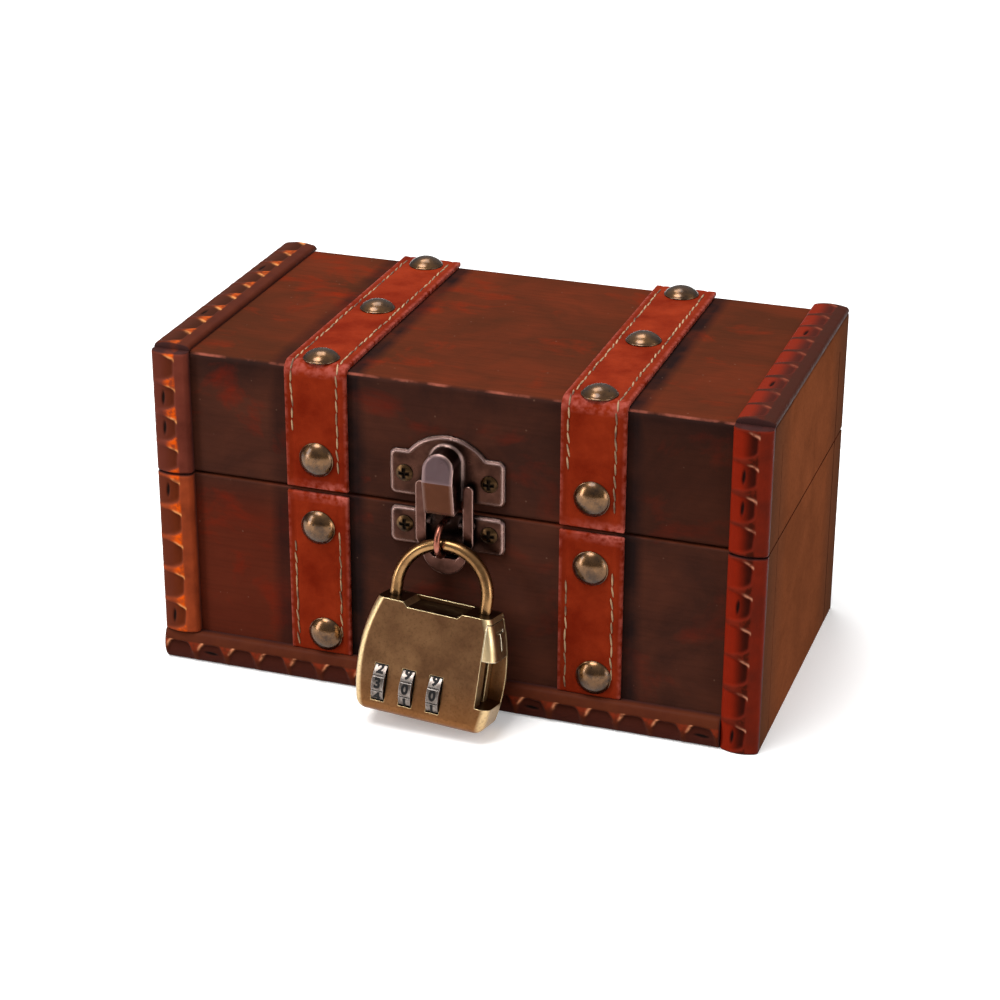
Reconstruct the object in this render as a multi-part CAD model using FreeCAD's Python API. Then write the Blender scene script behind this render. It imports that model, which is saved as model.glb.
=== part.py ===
import FreeCAD, Part
import math
import os
from FreeCAD import Vector

# A small wooden treasure chest with leather straps, a copper hasp and a brass dial padlock.
# Sizes are in millimetres. The origin is the middle of the base, the front faces -Y, up is +Z.

# Chest boards
chest_width = 160.0
chest_depth = 83.5
box_height = 53.4
lid_height = 32.7
seam_gap = 0.5
wall_board = 9.0
top_board = 8.0
bottom_board = 6.0
joint_groove = 0.5
edge_round = 0.8
top_edge_round = 1.6

# Carved mouldings
moulding_width = 9.6
bottom_moulding_width = 8.4
front_moulding_edge = 2.2
front_moulding_crown = 3.5
top_moulding_edge = 1.2
top_moulding_crown = 1.9
scallop_pitch = 9.0
scallop_reach = 7.0
scallop_floor_share = 0.5
gouge_overrun = 4.0

# Wire nails in the mouldings
nail_head_radius = 0.9
nail_head_height = 0.5
nail_shank_radius = 0.5
nail_shank_length = 7.5
nail_from_edge = 3.2
lid_nail_shares = (0.3, 0.6)
box_nail_shares = (0.1, 0.8)
bottom_nail_shares = (0.1, 0.4, 0.68, 0.97)
top_nail_shares = (0.25, 0.75)

# Leather straps
strap_width = 16.5
strap_thickness = 1.3
strap_place_share = 0.45
strap_end_gap = 0.4
strap_edge_round = 0.4

# Dome-headed studs through the straps
stud_head_radius = 4.6
stud_head_height = 1.9
stud_rim = 0.4
stud_shank_radius = 0.9
stud_shank_length = 7.0
lid_front_stud_above_seam = 8.5
lid_top_stud_front_inset = 4.9
lid_top_stud_back_inset = 5.4
box_stud_below_seam = 9.6
box_stud_above_moulding = 5.4
box_low_stud_shift = 1.3

# Hasp plates
hasp_x = -1.4
hasp_plate = 1.2
hasp_half_width = 15.0
hasp_corner = 1.6
hasp_edge_round = 0.5
upper_plate_above_seam = 2.5
upper_plate_height = 12.0
upper_dome_half_width = 10.2
upper_dome_rise = 5.0
lower_plate_below_seam = 0.4
lower_plate_height = 9.8
lower_plate_tail = 2.8
lower_tail_half_width = 6.0
hasp_screw_spacing = 22.2
upper_screw_above_edge = 5.9
lower_screw_above_edge = 5.3

# Nose of the upper plate
nose_half_width = 3.9
nose_above_seam = 1.2
nose_height = 15.9
nose_reach = 7.4
nose_ridge_share = 0.55
nose_upper_slope = 12.0
nose_lower_slope = 10.0
nose_wall = 1.0

# Hasp lever
lever_half_width = 7.5
lever_arm_width = 2.6
lever_thickness = 0.9
lever_stand_off = 1.15
lever_arm_above_seam = 7.8
lever_tab_radius = 5.7
lever_tab_width = 11.2
lever_tab_below_seam = 16.3
lever_window_below_seam = 11.9
lever_window_corner = 2.0
lever_pivot_below_seam = 2.6
lever_boss_radius = 0.95
lever_pin_radius = 0.5
lever_lug = 1.0
lever_side_gap = 0.2

# Wire staple
staple_wire_radius = 0.8
staple_bend_radius = 4.2
staple_below_seam = 6.1
staple_reach = 3.25

# Screws
hasp_screw_head_radius = 2.2
hasp_screw_head_height = 0.9
hinge_screw_head_radius = 1.5
hinge_screw_head_height = 0.7
screw_shank_radius = 0.9
screw_shank_length = 7.0
cross_slot_width = 0.55
cross_slot_depth = 0.5

# Back hinges
hinge_place_share = 0.6
hinge_width = 18.0
hinge_leaf_height = 9.0
hinge_leaf = 0.9
hinge_barrel_radius = 1.8
hinge_pin_radius = 0.9
hinge_board_gap = 0.1
hinge_knuckle_gap = 0.2
hinge_screw_spacing = 10.0

# Padlock
lock_tilt = 14.0
lock_roll = 3.7
lock_side_shift = 2.0
lock_from_staple = 1.0
lock_drop = 0.9
shackle_radius = 1.6
shackle_spacing = 23.8
shackle_straight = 3.1
shackle_long_leg = 13.3
shackle_short_leg = 5.5
shackle_travel = 2.6
case_height = 29.5
case_shoulder = 1.4
case_bulge = 3.4
case_bulge_drop = 16.5
case_foot_bulge = 1.7
case_thickness = 11.5
case_round = 2.4
case_foot_round = 3.0
cover_thickness = 1.6
cover_round = 0.9
top_recess_half_width = 6.6
top_recess_depth = 1.2

# Dial wheels
dial_pitch = 7.3
dial_shift = -3.7
dial_drop = 21.6
dial_radius = 6.2
dial_thickness = 3.1
dial_forward = 1.3
dial_flats = 10
dial_groove_width = 0.5
dial_groove_depth = 0.25
dial_window_length = 9.6
dial_axle_radius = 1.5
dial_axle_overhang = 2.0

# Shackle retaining pin
retainer_radius = 0.7
retainer_above_leg_end = 5.3
retainer_notch_depth = 0.6

# Release slider
slider_wall = 0.8
slider_top_drop = 1.5
slider_height = 9.0
slider_slot_run = 12.2
slider_rib_width = 2.4
slider_rib_reach = 1.5
slider_rib_height = 3.8
slider_slot_width = 0.8
slider_slot_length = 5.0
slider_slot_depth = 0.6

# Clearances
driven_clearance = 0.03
running_clearance = 0.06
sliding_clearance = 0.2

# Places worked out from the sizes above
half_width = chest_width / 2
front = -chest_depth / 2
back = chest_depth / 2
inner_front = front + wall_board
inner_back = back - wall_board
inner_side = half_width - wall_board
lid_bottom = box_height + seam_gap
lid_top = lid_bottom + lid_height
lid_wall_top = lid_top - top_board
strap_x = half_width * strap_place_share

UP = Vector(0, 0, 1)
DOWN = Vector(0, 0, -1)
FORWARD = Vector(0, -1, 0)
BACKWARD = Vector(0, 1, 0)
ACROSS = Vector(1, 0, 0)
ORIGIN = Vector(0, 0, 0)
os.makedirs("parts", exist_ok=True)


def save(name, shape):
    shape.exportStep("parts/" + name + ".step")


def block(x0, x1, y0, y1, z0, z1):
    return Part.makeBox(x1 - x0, y1 - y0, z1 - z0, Vector(x0, y0, z0))


def rod(radius, start, end):
    run = end - start
    return Part.makeCylinder(radius, run.Length, start, run)


def outline(to_space, start, steps):
    # A step is the next corner, or a pair: a point on the way round an arc and the arc's end.
    edges = []
    first = to_space(*start)
    here = first
    for step in steps:
        if isinstance(step[0], tuple):
            end = to_space(*step[1])
            edges.append(Part.Arc(here, to_space(*step[0]), end).toShape())
        else:
            end = to_space(*step)
            edges.append(Part.makeLine(here, end))
        here = end
    if not here.isEqual(first, 1e-6):
        edges.append(Part.makeLine(here, first))
    return Part.Face(Part.Wire(edges))


def half_bend(radius, start, direction, centre, axis):
    # A round wire that leaves its start and turns half a circle about the centre.
    section = Part.Face(Part.Wire(Part.makeCircle(radius, start, direction)))
    return section.revolve(centre, axis, 180)


def turned(start, steps):
    # A round piece about the Z axis, from half of its section.
    face = outline(lambda radius, height: Vector(radius, 0, height), start, steps)
    return face.revolve(ORIGIN, UP, 360)


def aim(shape, point, direction):
    # Turns a piece made along +Z to a new direction and moves it to its point.
    placed = shape.copy()
    placed.Placement = FreeCAD.Placement(point, FreeCAD.Rotation(UP, direction))
    return placed


def edges_where(shape, test):
    return [edge for edge in shape.Edges if test(edge.BoundBox)]


def flat_at(low, high, place):
    return abs(low - place) < 1e-4 and abs(high - place) < 1e-4


def round_front(shape, radius, y):
    # Rounds every edge of a plate that lies in its front face.
    return shape.makeFillet(radius, edges_where(shape, lambda box: flat_at(box.YMin, box.YMax, y)))


def rounded_plate(x0, x1, y0, y1, z0, z1, corner):
    plate = block(x0, x1, y0, y1, z0, z1)
    return plate.makeFillet(corner, edges_where(plate, lambda box: box.YLength > box.XLength + box.ZLength))


# Fasteners: each is made along +Z with its seat at the origin, with the hole that it needs


def wire_nail():
    head = Part.makeCylinder(nail_head_radius, nail_head_height, Vector(0, 0, -nail_head_height))
    shank = Part.makeCylinder(nail_shank_radius, nail_shank_length, ORIGIN, DOWN)
    return head.fuse(shank).removeSplitter()


def wire_nail_hole():
    depth = nail_head_height + driven_clearance
    head = Part.makeCylinder(nail_head_radius + driven_clearance, depth + edge_round, Vector(0, 0, -depth))
    shank = Part.makeCylinder(nail_shank_radius + driven_clearance, nail_shank_length, ORIGIN, DOWN)
    return head.fuse(shank)


def stud():
    half_way = 0.55 * stud_head_radius
    sphere = (stud_head_radius ** 2 + (stud_head_height - stud_rim) ** 2) / (2 * (stud_head_height - stud_rim))
    half_height = stud_head_height - sphere + math.sqrt(sphere ** 2 - half_way ** 2)
    dome = ((half_way, half_height), (0, stud_head_height))
    steps = [(stud_shank_radius, -stud_shank_length), (stud_shank_radius, 0), (stud_head_radius, 0)]
    return turned((0, -stud_shank_length), steps + [(stud_head_radius, stud_rim), dome])


def stud_hole():
    return Part.makeCylinder(stud_shank_radius + driven_clearance, stud_shank_length, ORIGIN, DOWN)


def screw(head_radius, head_height):
    half_way = 0.6 * head_radius
    dome = ((half_way, 0.72 * head_height), (0, head_height))
    steps = [(screw_shank_radius, -screw_shank_length), (screw_shank_radius, 0), (head_radius, 0)]
    solid = turned((0, -screw_shank_length), steps + [(head_radius, 0.25 * head_height), dome])
    half_slot = cross_slot_width / 2
    half_cross = 0.62 * head_radius
    floor = head_height - cross_slot_depth
    first = block(-half_cross, half_cross, -half_slot, half_slot, floor, 2 * head_height)
    second = block(-half_slot, half_slot, -half_cross, half_cross, floor, 2 * head_height)
    return solid.cut([first, second])


def screw_hole():
    depth = screw_shank_length + driven_clearance
    return Part.makeCylinder(screw_shank_radius + driven_clearance, depth, ORIGIN, DOWN)


def drive_all(solid, hole, places):
    # A group of like fasteners, and their holes, at a list of points and outward directions.
    solids = [aim(solid, point, direction) for point, direction in places]
    holes = [aim(hole, point, direction) for point, direction in places]
    return Part.makeCompound(solids), holes


strap_front = front - strap_thickness
strap_top = lid_top + strap_thickness
sides = (-1, 1)

lid_stud_places = []
box_stud_places = []
for side in sides:
    x = side * strap_x
    lid_stud_places.append((Vector(x, strap_front, lid_bottom + lid_front_stud_above_seam), FORWARD))
    for y in (strap_front + lid_top_stud_front_inset, 0, back - lid_top_stud_back_inset):
        lid_stud_places.append((Vector(x, y, strap_top), UP))
    low_stud_z = bottom_moulding_width + box_stud_above_moulding
    box_stud_places.append((Vector(x, strap_front, box_height - box_stud_below_seam), FORWARD))
    box_stud_places.append((Vector(x + box_low_stud_shift, strap_front, low_stud_z), FORWARD))
lid_studs, lid_stud_holes = drive_all(stud(), stud_hole(), lid_stud_places)
box_studs, box_stud_holes = drive_all(stud(), stud_hole(), box_stud_places)

plate_front = front - hasp_plate
upper_plate_bottom = lid_bottom + upper_plate_above_seam
lower_plate_top = box_height - lower_plate_below_seam
lower_plate_bottom = lower_plate_top - lower_plate_height
hasp_lid_places = []
hasp_box_places = []
for side in sides:
    x = hasp_x + side * hasp_screw_spacing / 2
    hasp_lid_places.append((Vector(x, plate_front, upper_plate_bottom + upper_screw_above_edge), FORWARD))
    hasp_box_places.append((Vector(x, plate_front, lower_plate_bottom + lower_screw_above_edge), FORWARD))
hasp_screw = screw(hasp_screw_head_radius, hasp_screw_head_height)
hasp_lid_screws, hasp_lid_holes = drive_all(hasp_screw, screw_hole(), hasp_lid_places)
hasp_box_screws, hasp_box_holes = drive_all(hasp_screw, screw_hole(), hasp_box_places)

hinge_x = half_width * hinge_place_share
hinge_axis_y = back + hinge_board_gap + hinge_barrel_radius
hinge_axis_z = box_height + seam_gap / 2
leaf_back = back + hinge_leaf
leaf_screw_rise = (hinge_barrel_radius + hinge_leaf_height) / 2 + 0.4
hinge_lid_places = []
hinge_box_places = []
for side in sides:
    for step in sides:
        x = side * hinge_x + step * hinge_screw_spacing / 2
        hinge_lid_places.append((Vector(x, leaf_back, hinge_axis_z + leaf_screw_rise), BACKWARD))
        hinge_box_places.append((Vector(x, leaf_back, hinge_axis_z - leaf_screw_rise), BACKWARD))
hinge_screw = screw(hinge_screw_head_radius, hinge_screw_head_height)
hinge_lid_screws, hinge_lid_holes = drive_all(hinge_screw, screw_hole(), hinge_lid_places)
hinge_box_screws, hinge_box_holes = drive_all(hinge_screw, screw_hole(), hinge_box_places)

# Mouldings: half-round strips with gouged scallops that open at the outer edge


def moulding(length, width, edge, crown, nail_shares):
    # Across +X from the inner edge, out along -Y from the seat, and along +Z.
    # Gives the strip, its nails and the holes that they need in the board behind.
    profile = [(width, 0), (width, edge), ((width / 2, crown), (0, edge))]
    strip = outline(lambda across, out: Vector(across, -out, 0), (0, 0), profile)
    strip = strip.extrude(Vector(0, 0, length))
    count = max(1, round(length / scallop_pitch))
    pitch = length / count
    floor = scallop_floor_share * edge
    slope = math.atan2(crown - floor, scallop_reach)
    sink = (edge - floor) * math.cos(slope)
    gouge = (pitch * pitch / 4 + sink * sink) / (2 * sink)
    inward = Vector(-math.cos(slope), -math.sin(slope), 0)
    lift = Vector(math.sin(slope), -math.cos(slope), 0)
    run = scallop_reach + 2 * gouge_overrun
    cuts = []
    for index in range(count):
        low_point = Vector(width, -floor, (index + 0.5) * pitch)
        cuts.append(Part.makeCylinder(gouge, run, low_point + lift * gouge - inward * gouge_overrun, inward))
    nail_height = floor + nail_from_edge * math.tan(slope)
    nail_places = []
    for share in nail_shares:
        along = (int(share * count) + 0.5) * pitch
        nail_places.append((Vector(width - nail_from_edge, -nail_height, along), FORWARD))
    nails, holes = drive_all(wire_nail(), wire_nail_hole(), nail_places)
    return strip.cut(cuts + holes), nails, Part.makeCompound(holes)


def fix_moulding(pieces, axis, angle, corner, turned_over):
    placed = []
    for piece in pieces:
        piece.rotate(ORIGIN, axis, angle)
        piece.translate(corner)
        if turned_over:
            piece = piece.mirror(ORIGIN, ACROSS)
        placed.append(piece)
    return placed


def strip_corner(side):
    # On both ends of the chest the scoops open to the left, so each strip is placed there turned over.
    return half_width - moulding_width if side < 0 else -half_width


def front_moulding(side, z0, z1, nail_shares):
    pieces = moulding(z1 - z0, moulding_width, front_moulding_edge, front_moulding_crown, nail_shares)
    return fix_moulding(pieces, UP, 0, Vector(strip_corner(side), front, z0), True)


def top_moulding(side):
    pieces = moulding(chest_depth, moulding_width, top_moulding_edge, top_moulding_crown, top_nail_shares)
    return fix_moulding(pieces, ACROSS, -90, Vector(strip_corner(side), front, lid_top), True)


# The bottom strip runs under the left upright, and the right upright runs down to the floor.
bottom_strip = moulding(
    chest_width - moulding_width, bottom_moulding_width, front_moulding_edge, front_moulding_crown,
    bottom_nail_shares)
bottom_corner = Vector(-half_width, front, bottom_moulding_width)
box_mouldings = {
    "box_bottom_moulding": fix_moulding(bottom_strip, BACKWARD, 90, bottom_corner, False),
    "box_left_front_moulding": front_moulding(-1, bottom_moulding_width, box_height, box_nail_shares),
    "box_right_front_moulding": front_moulding(1, 0, box_height, box_nail_shares)}
lid_mouldings = {
    "lid_left_front_moulding": front_moulding(-1, lid_bottom, lid_top, lid_nail_shares),
    "lid_right_front_moulding": front_moulding(1, lid_bottom, lid_top, lid_nail_shares),
    "lid_left_top_moulding": top_moulding(-1),
    "lid_right_top_moulding": top_moulding(1)}


def save_mouldings(nail_name, mouldings):
    all_nails = []
    all_holes = []
    for name, (strip, nails, holes) in mouldings.items():
        save(name, strip)
        all_nails += nails.Solids
        all_holes += holes.Solids
    save(nail_name, Part.makeCompound(all_nails))
    return all_holes


box_nail_holes = save_mouldings("box_moulding_nails", box_mouldings)
lid_nail_holes = save_mouldings("lid_moulding_nails", lid_mouldings)

# Box boards: the front and back boards overlap the ends, and the bottom sits between them


def overlapping_board(y0, y1, z0, z1, outer_y, seam_z, holes):
    board = block(-half_width, half_width, y0, y1, z0, z1)
    seam_edge = edges_where(
        board, lambda box: flat_at(box.YMin, box.YMax, outer_y) and flat_at(box.ZMin, box.ZMax, seam_z))
    return board.makeFillet(edge_round, seam_edge).cut(holes)


def end_board(side, z0, z1):
    # The outer upright edges are eased, so that a fine groove shows at each corner joint.
    board = block(inner_side, half_width, inner_front, inner_back, z0, z1)
    upright = edges_where(
        board, lambda box: flat_at(box.XMin, box.XMax, half_width) and box.ZLength > box.YLength)
    board = board.makeChamfer(joint_groove, upright)
    if side < 0:
        board = board.mirror(ORIGIN, ACROSS)
    return board


box_front_holes = box_stud_holes + box_nail_holes + hasp_box_holes
save("box_front_board", overlapping_board(front, inner_front, 0, box_height, front, box_height, box_front_holes))
save("box_back_board", overlapping_board(inner_back, back, 0, box_height, back, box_height, hinge_box_holes))
save("box_left_end", end_board(-1, 0, box_height))
save("box_right_end", end_board(1, 0, box_height))
save("box_bottom_board", block(-inner_side, inner_side, inner_front, inner_back, 0, bottom_board))

# Lid boards: four walls with the top board laid over them

lid_front_holes = lid_stud_holes + lid_nail_holes + hasp_lid_holes
lid_front = overlapping_board(front, inner_front, lid_bottom, lid_wall_top, front, lid_bottom, lid_front_holes)
save("lid_front_board", lid_front)
lid_back = overlapping_board(inner_back, back, lid_bottom, lid_wall_top, back, lid_bottom, hinge_lid_holes)
save("lid_back_board", lid_back)
save("lid_left_end", end_board(-1, lid_bottom, lid_wall_top))
save("lid_right_end", end_board(1, lid_bottom, lid_wall_top))
top = block(-half_width, half_width, front, back, lid_wall_top, lid_top)
top_edges = edges_where(top, lambda box: flat_at(box.ZMin, box.ZMax, lid_top) and box.XLength > box.YLength)
top = top.makeFillet(top_edge_round, top_edges)
save("lid_top_board", top.cut(lid_stud_holes + lid_nail_holes))

# Straps: flat leather on the box, and one piece bent over the front edge of the lid


def lid_strap(x, holes):
    bend = top_edge_round + strap_thickness
    turn = math.sqrt(0.5)
    inner_y = front + top_edge_round
    inner_z = lid_top - top_edge_round
    foot = lid_bottom + strap_end_gap
    steps = [
        (strap_front, inner_z),
        ((inner_y - bend * turn, inner_z + bend * turn), (inner_y, strap_top)),
        (back, strap_top),
        (back, lid_top),
        (inner_y, lid_top),
        ((inner_y - top_edge_round * turn, inner_z + top_edge_round * turn), (front, inner_z)),
        (front, foot)]
    face = outline(lambda y, z: Vector(x - strap_width / 2, y, z), (strap_front, foot), steps)
    return face.extrude(Vector(strap_width, 0, 0)).cut(holes)


def box_strap(x, holes):
    top_z = box_height - strap_end_gap
    strap = block(x - strap_width / 2, x + strap_width / 2, strap_front, front, bottom_moulding_width, top_z)
    return round_front(strap, strap_edge_round, strap_front).cut(holes)


for side, word in zip(sides, ("left", "right")):
    save("lid_" + word + "_strap", lid_strap(side * strap_x, lid_stud_holes))
    save("box_" + word + "_strap", box_strap(side * strap_x, box_stud_holes))
save("lid_studs", lid_studs)
save("box_studs", box_studs)

# Hasp upper plate: two screw lobes, a domed top and a hollow nose that is open below

upper_plate_top = upper_plate_bottom + upper_plate_height
upper = rounded_plate(
    hasp_x - hasp_half_width, hasp_x + hasp_half_width, plate_front, front,
    upper_plate_bottom, upper_plate_top, hasp_corner)
dome_radius = (upper_dome_half_width ** 2 + upper_dome_rise ** 2) / (2 * upper_dome_rise)
dome_centre = Vector(hasp_x, front, upper_plate_top + upper_dome_rise - dome_radius)
dome = Part.makeCylinder(dome_radius, hasp_plate, dome_centre, FORWARD)
above = block(
    hasp_x - dome_radius, hasp_x + dome_radius, plate_front, front,
    upper_plate_top - hasp_corner, upper_plate_top + upper_dome_rise)
upper = upper.fuse(dome.common(above)).removeSplitter()
upper = round_front(upper, hasp_edge_round, plate_front)


def nose_bar(inset, y0, y1):
    half = nose_half_width - inset
    low = lid_bottom + nose_above_seam
    high = low + nose_height - nose_half_width
    shoulder = [(half, low), (half, high), ((0, high + half), (-half, high)), (-half, low)]
    face = outline(lambda x, z: Vector(hasp_x + x, y0, z), (0, low), shoulder)
    return face.extrude(Vector(0, y1 - y0, 0))


nose_front = plate_front - nose_reach
nose_low = lid_bottom + nose_above_seam
nose_ridge = nose_low + nose_ridge_share * nose_height
nose = nose_bar(0, nose_front, plate_front)
for slope, way in ((nose_upper_slope, 1), (nose_lower_slope, -1)):
    wedge = block(-nose_height, nose_height, -nose_height, 0, min(0, way) * nose_height, max(0, way) * nose_height)
    wedge.rotate(ORIGIN, ACROSS, -way * slope)
    wedge.translate(Vector(hasp_x, nose_front, nose_ridge))
    nose = nose.cut(wedge)
hollow_front = nose_front + nose_wall + nose_height * math.tan(math.radians(nose_upper_slope)) / 2
nose = nose.cut(nose_bar(nose_wall, hollow_front, plate_front))
save("hasp_upper_plate", upper.fuse(nose).removeSplitter().cut(hasp_lid_holes))
save("hasp_lid_screws", hasp_lid_screws)

# Hasp lower plate: two screw lobes, a tail for the staple and a lug for each lever pin

lever_back = plate_front - lever_stand_off
lever_front = lever_back - lever_thickness
pivot_y = lever_back + (lever_boss_radius - lever_thickness)
pivot_z = box_height - lever_pivot_below_seam
arm_inside = lever_half_width - lever_arm_width
lug_outside = arm_inside - lever_side_gap
lug_inside = lug_outside - lever_lug
staple_z = box_height - staple_below_seam
lower = rounded_plate(
    hasp_x - hasp_half_width, hasp_x + hasp_half_width, plate_front, front,
    lower_plate_bottom, lower_plate_top, hasp_corner)
tail = rounded_plate(
    hasp_x - lower_tail_half_width, hasp_x + lower_tail_half_width, plate_front, front,
    lower_plate_bottom - lower_plate_tail, lower_plate_top - hasp_corner, hasp_corner)
lower = round_front(lower.fuse(tail).removeSplitter(), hasp_edge_round, plate_front)
pins = []
for side in sides:
    near = hasp_x + side * lug_inside
    far = hasp_x + side * lug_outside
    pin_end = hasp_x + side * (lever_half_width - lever_side_gap)
    lug_foot = block(
        min(near, far), max(near, far), pivot_y, plate_front,
        pivot_z - lever_boss_radius, pivot_z + lever_boss_radius)
    lug_head = rod(lever_boss_radius, Vector(near, pivot_y, pivot_z), Vector(far, pivot_y, pivot_z))
    pin = rod(lever_pin_radius, Vector(near, pivot_y, pivot_z), Vector(pin_end, pivot_y, pivot_z))
    lower = lower.fuse(lug_foot.fuse(lug_head))
    pins.append(pin)
staple_legs = []
for way in sides:
    leg_z = staple_z + way * staple_bend_radius
    staple_legs.append(rod(
        staple_wire_radius, Vector(hasp_x, front, leg_z),
        Vector(hasp_x, plate_front - staple_reach, leg_z)))
lower = lower.removeSplitter().cut(pins + staple_legs)
save("hasp_lower_plate", lower.cut(hasp_box_holes))
save("hasp_lever_pins", Part.makeCompound(pins))
save("hasp_box_screws", hasp_box_screws)

# Wire staple: two legs riveted through the lower plate and a half-round eye

staple_y = plate_front - staple_reach
eye_start = Vector(hasp_x, staple_y, staple_z + staple_bend_radius)
eye = half_bend(staple_wire_radius, eye_start, BACKWARD, Vector(hasp_x, staple_y, staple_z), ACROSS)
save("hasp_staple", eye.fuse(staple_legs).removeSplitter())

# Hasp lever: a fork with a window for the staple, a round finger tab and a boss on each arm

arm_top = lid_bottom + lever_arm_above_seam
tab_low = box_height - lever_tab_below_seam
tab_side = lever_tab_width / 2
tab_high = tab_low + lever_tab_radius - math.sqrt(lever_tab_radius ** 2 - tab_side ** 2)
arm_low = tab_high + 1.6 * lever_arm_width
arm_round = lever_arm_width / 2
window_low = box_height - lever_window_below_seam
fork = [
    (tab_side, tab_high), (lever_half_width, arm_low), (lever_half_width, arm_top - arm_round),
    ((lever_half_width - arm_round, arm_top), (arm_inside, arm_top - arm_round)),
    (arm_inside, window_low + lever_window_corner), (arm_inside - lever_window_corner, window_low),
    (lever_window_corner - arm_inside, window_low), (-arm_inside, window_low + lever_window_corner),
    (-arm_inside, arm_top - arm_round),
    ((arm_round - lever_half_width, arm_top), (-lever_half_width, arm_top - arm_round)),
    (-lever_half_width, arm_low), (-tab_side, tab_high), ((0, tab_low), (tab_side, tab_high))]
lever = outline(lambda x, z: Vector(hasp_x + x, lever_front, z), fork[0], fork[1:])
lever = lever.extrude(Vector(0, lever_thickness, 0))
bores = []
for side in sides:
    start = Vector(hasp_x + side * arm_inside, pivot_y, pivot_z)
    end = Vector(hasp_x + side * lever_half_width, pivot_y, pivot_z)
    lever = lever.fuse(rod(lever_boss_radius, start, end))
    bores.append(rod(lever_pin_radius + running_clearance, start, end))
save("hasp_lever", lever.removeSplitter().cut(bores))

# Back hinges: two butt hinges with three knuckles each


def hinge(centre_x):
    third = hinge_width / 3
    left = centre_x - hinge_width / 2
    stops = [left, left + third, left + 2 * third, left + hinge_width]

    def knuckle(x0, x1, radius):
        return rod(radius, Vector(x0, hinge_axis_y, hinge_axis_z), Vector(x1, hinge_axis_y, hinge_axis_z))

    bore = knuckle(stops[0] - 1, stops[3] + 1, hinge_pin_radius + running_clearance)
    gap = hinge_knuckle_gap
    room = hinge_barrel_radius + hinge_knuckle_gap
    middle = knuckle(stops[1] + gap, stops[2] - gap, hinge_barrel_radius)
    outer = [knuckle(stops[0], stops[1], hinge_barrel_radius), knuckle(stops[2], stops[3], hinge_barrel_radius)]
    reach = hinge_axis_z + hinge_leaf_height
    depth = hinge_axis_z - hinge_leaf_height
    lid_plate = block(stops[0], stops[3], back, leaf_back, lid_bottom, reach)
    box_plate = block(stops[0], stops[3], back, leaf_back, depth, box_height)
    lid_neck = block(stops[1] + gap, stops[2] - gap, back + hinge_board_gap, leaf_back, hinge_axis_z, lid_bottom)
    box_necks = [
        block(stops[0], stops[1], back + hinge_board_gap, leaf_back, box_height, hinge_axis_z),
        block(stops[2], stops[3], back + hinge_board_gap, leaf_back, box_height, hinge_axis_z)]
    lid_room = [knuckle(stops[0] - gap, stops[1] + gap, room), knuckle(stops[2] - gap, stops[3] + gap, room)]
    box_room = knuckle(stops[1], stops[2], room)
    lid_leaf = lid_plate.cut(lid_room).fuse([middle, lid_neck]).cut([bore] + hinge_lid_holes)
    box_leaf = box_plate.cut(box_room).fuse(outer + box_necks).cut([bore] + hinge_box_holes)
    return lid_leaf, box_leaf, knuckle(stops[0], stops[3], hinge_pin_radius)


for side, word in zip(sides, ("left", "right")):
    lid_leaf, box_leaf, hinge_pin = hinge(side * hinge_x)
    save(word + "_hinge_lid_leaf", lid_leaf)
    save(word + "_hinge_box_leaf", box_leaf)
    save(word + "_hinge_pin", hinge_pin)
save("hinge_lid_screws", hinge_lid_screws)
save("hinge_box_screws", hinge_box_screws)

# Padlock: made upright with the middle of the shackle's wire, where it hangs, at the origin

lock_point = Vector(hasp_x, staple_y - lock_from_staple, staple_z - lock_drop)


def hang(shape):
    placed = shape.copy()
    placed.rotate(ORIGIN, BACKWARD, lock_roll)
    placed.rotate(ORIGIN, ACROSS, -lock_tilt)
    placed.translate(lock_point)
    return placed


lock_x = lock_side_shift
arch_radius = shackle_spacing / 2
leg_outside = arch_radius + shackle_radius
case_top_half_width = leg_outside + case_shoulder
case_bulge_half_width = case_top_half_width + case_bulge
case_foot_half_width = case_top_half_width + case_foot_bulge
arch_z = -arch_radius
case_top = arch_z - shackle_straight
case_foot = case_top - case_height
bulge_z = case_top - case_bulge_drop
face_y = -case_thickness / 2
rear_y = case_thickness / 2
parting_y = rear_y - cover_thickness


def case_slab(y0, y1):
    # The handbag outline: straight top and foot, and sides that bulge as arcs.
    sides_and_top = [
        ((lock_x + case_bulge_half_width, bulge_z), (lock_x + case_top_half_width, case_top)),
        (lock_x - case_top_half_width, case_top),
        ((lock_x - case_bulge_half_width, bulge_z), (lock_x - case_foot_half_width, case_foot))]
    start = (lock_x + case_foot_half_width, case_foot)
    face = outline(lambda x, z: Vector(x, y0, z), start, sides_and_top)
    slab = face.extrude(Vector(0, y1 - y0, 0))
    upright = edges_where(slab, lambda box: box.YLength > 1 and flat_at(box.ZMin, box.ZMax, case_foot))
    upright = [edge for edge in upright if edge.BoundBox.XLength < 1e-4]
    return slab.makeFillet(case_foot_round, upright)


# The face is well rounded at the sides and the foot, and keeps a sharp edge along the top.
blank = case_slab(face_y, parting_y)
face_edges = edges_where(blank, lambda box: flat_at(box.YMin, box.YMax, face_y) and box.ZMin < case_top - 1e-4)
blank = blank.makeFillet(case_round, face_edges)
cover = round_front(case_slab(parting_y, rear_y), cover_round, rear_y)

leg_x = (lock_x - arch_radius, lock_x + arch_radius)
leg_end = (case_top - shackle_long_leg, case_top - shackle_short_leg)
dial_z = case_top - dial_drop
dial_y = -dial_forward
dial_x = [lock_x + dial_shift + step * dial_pitch for step in (-1, 0, 1)]
room = sliding_clearance

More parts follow.
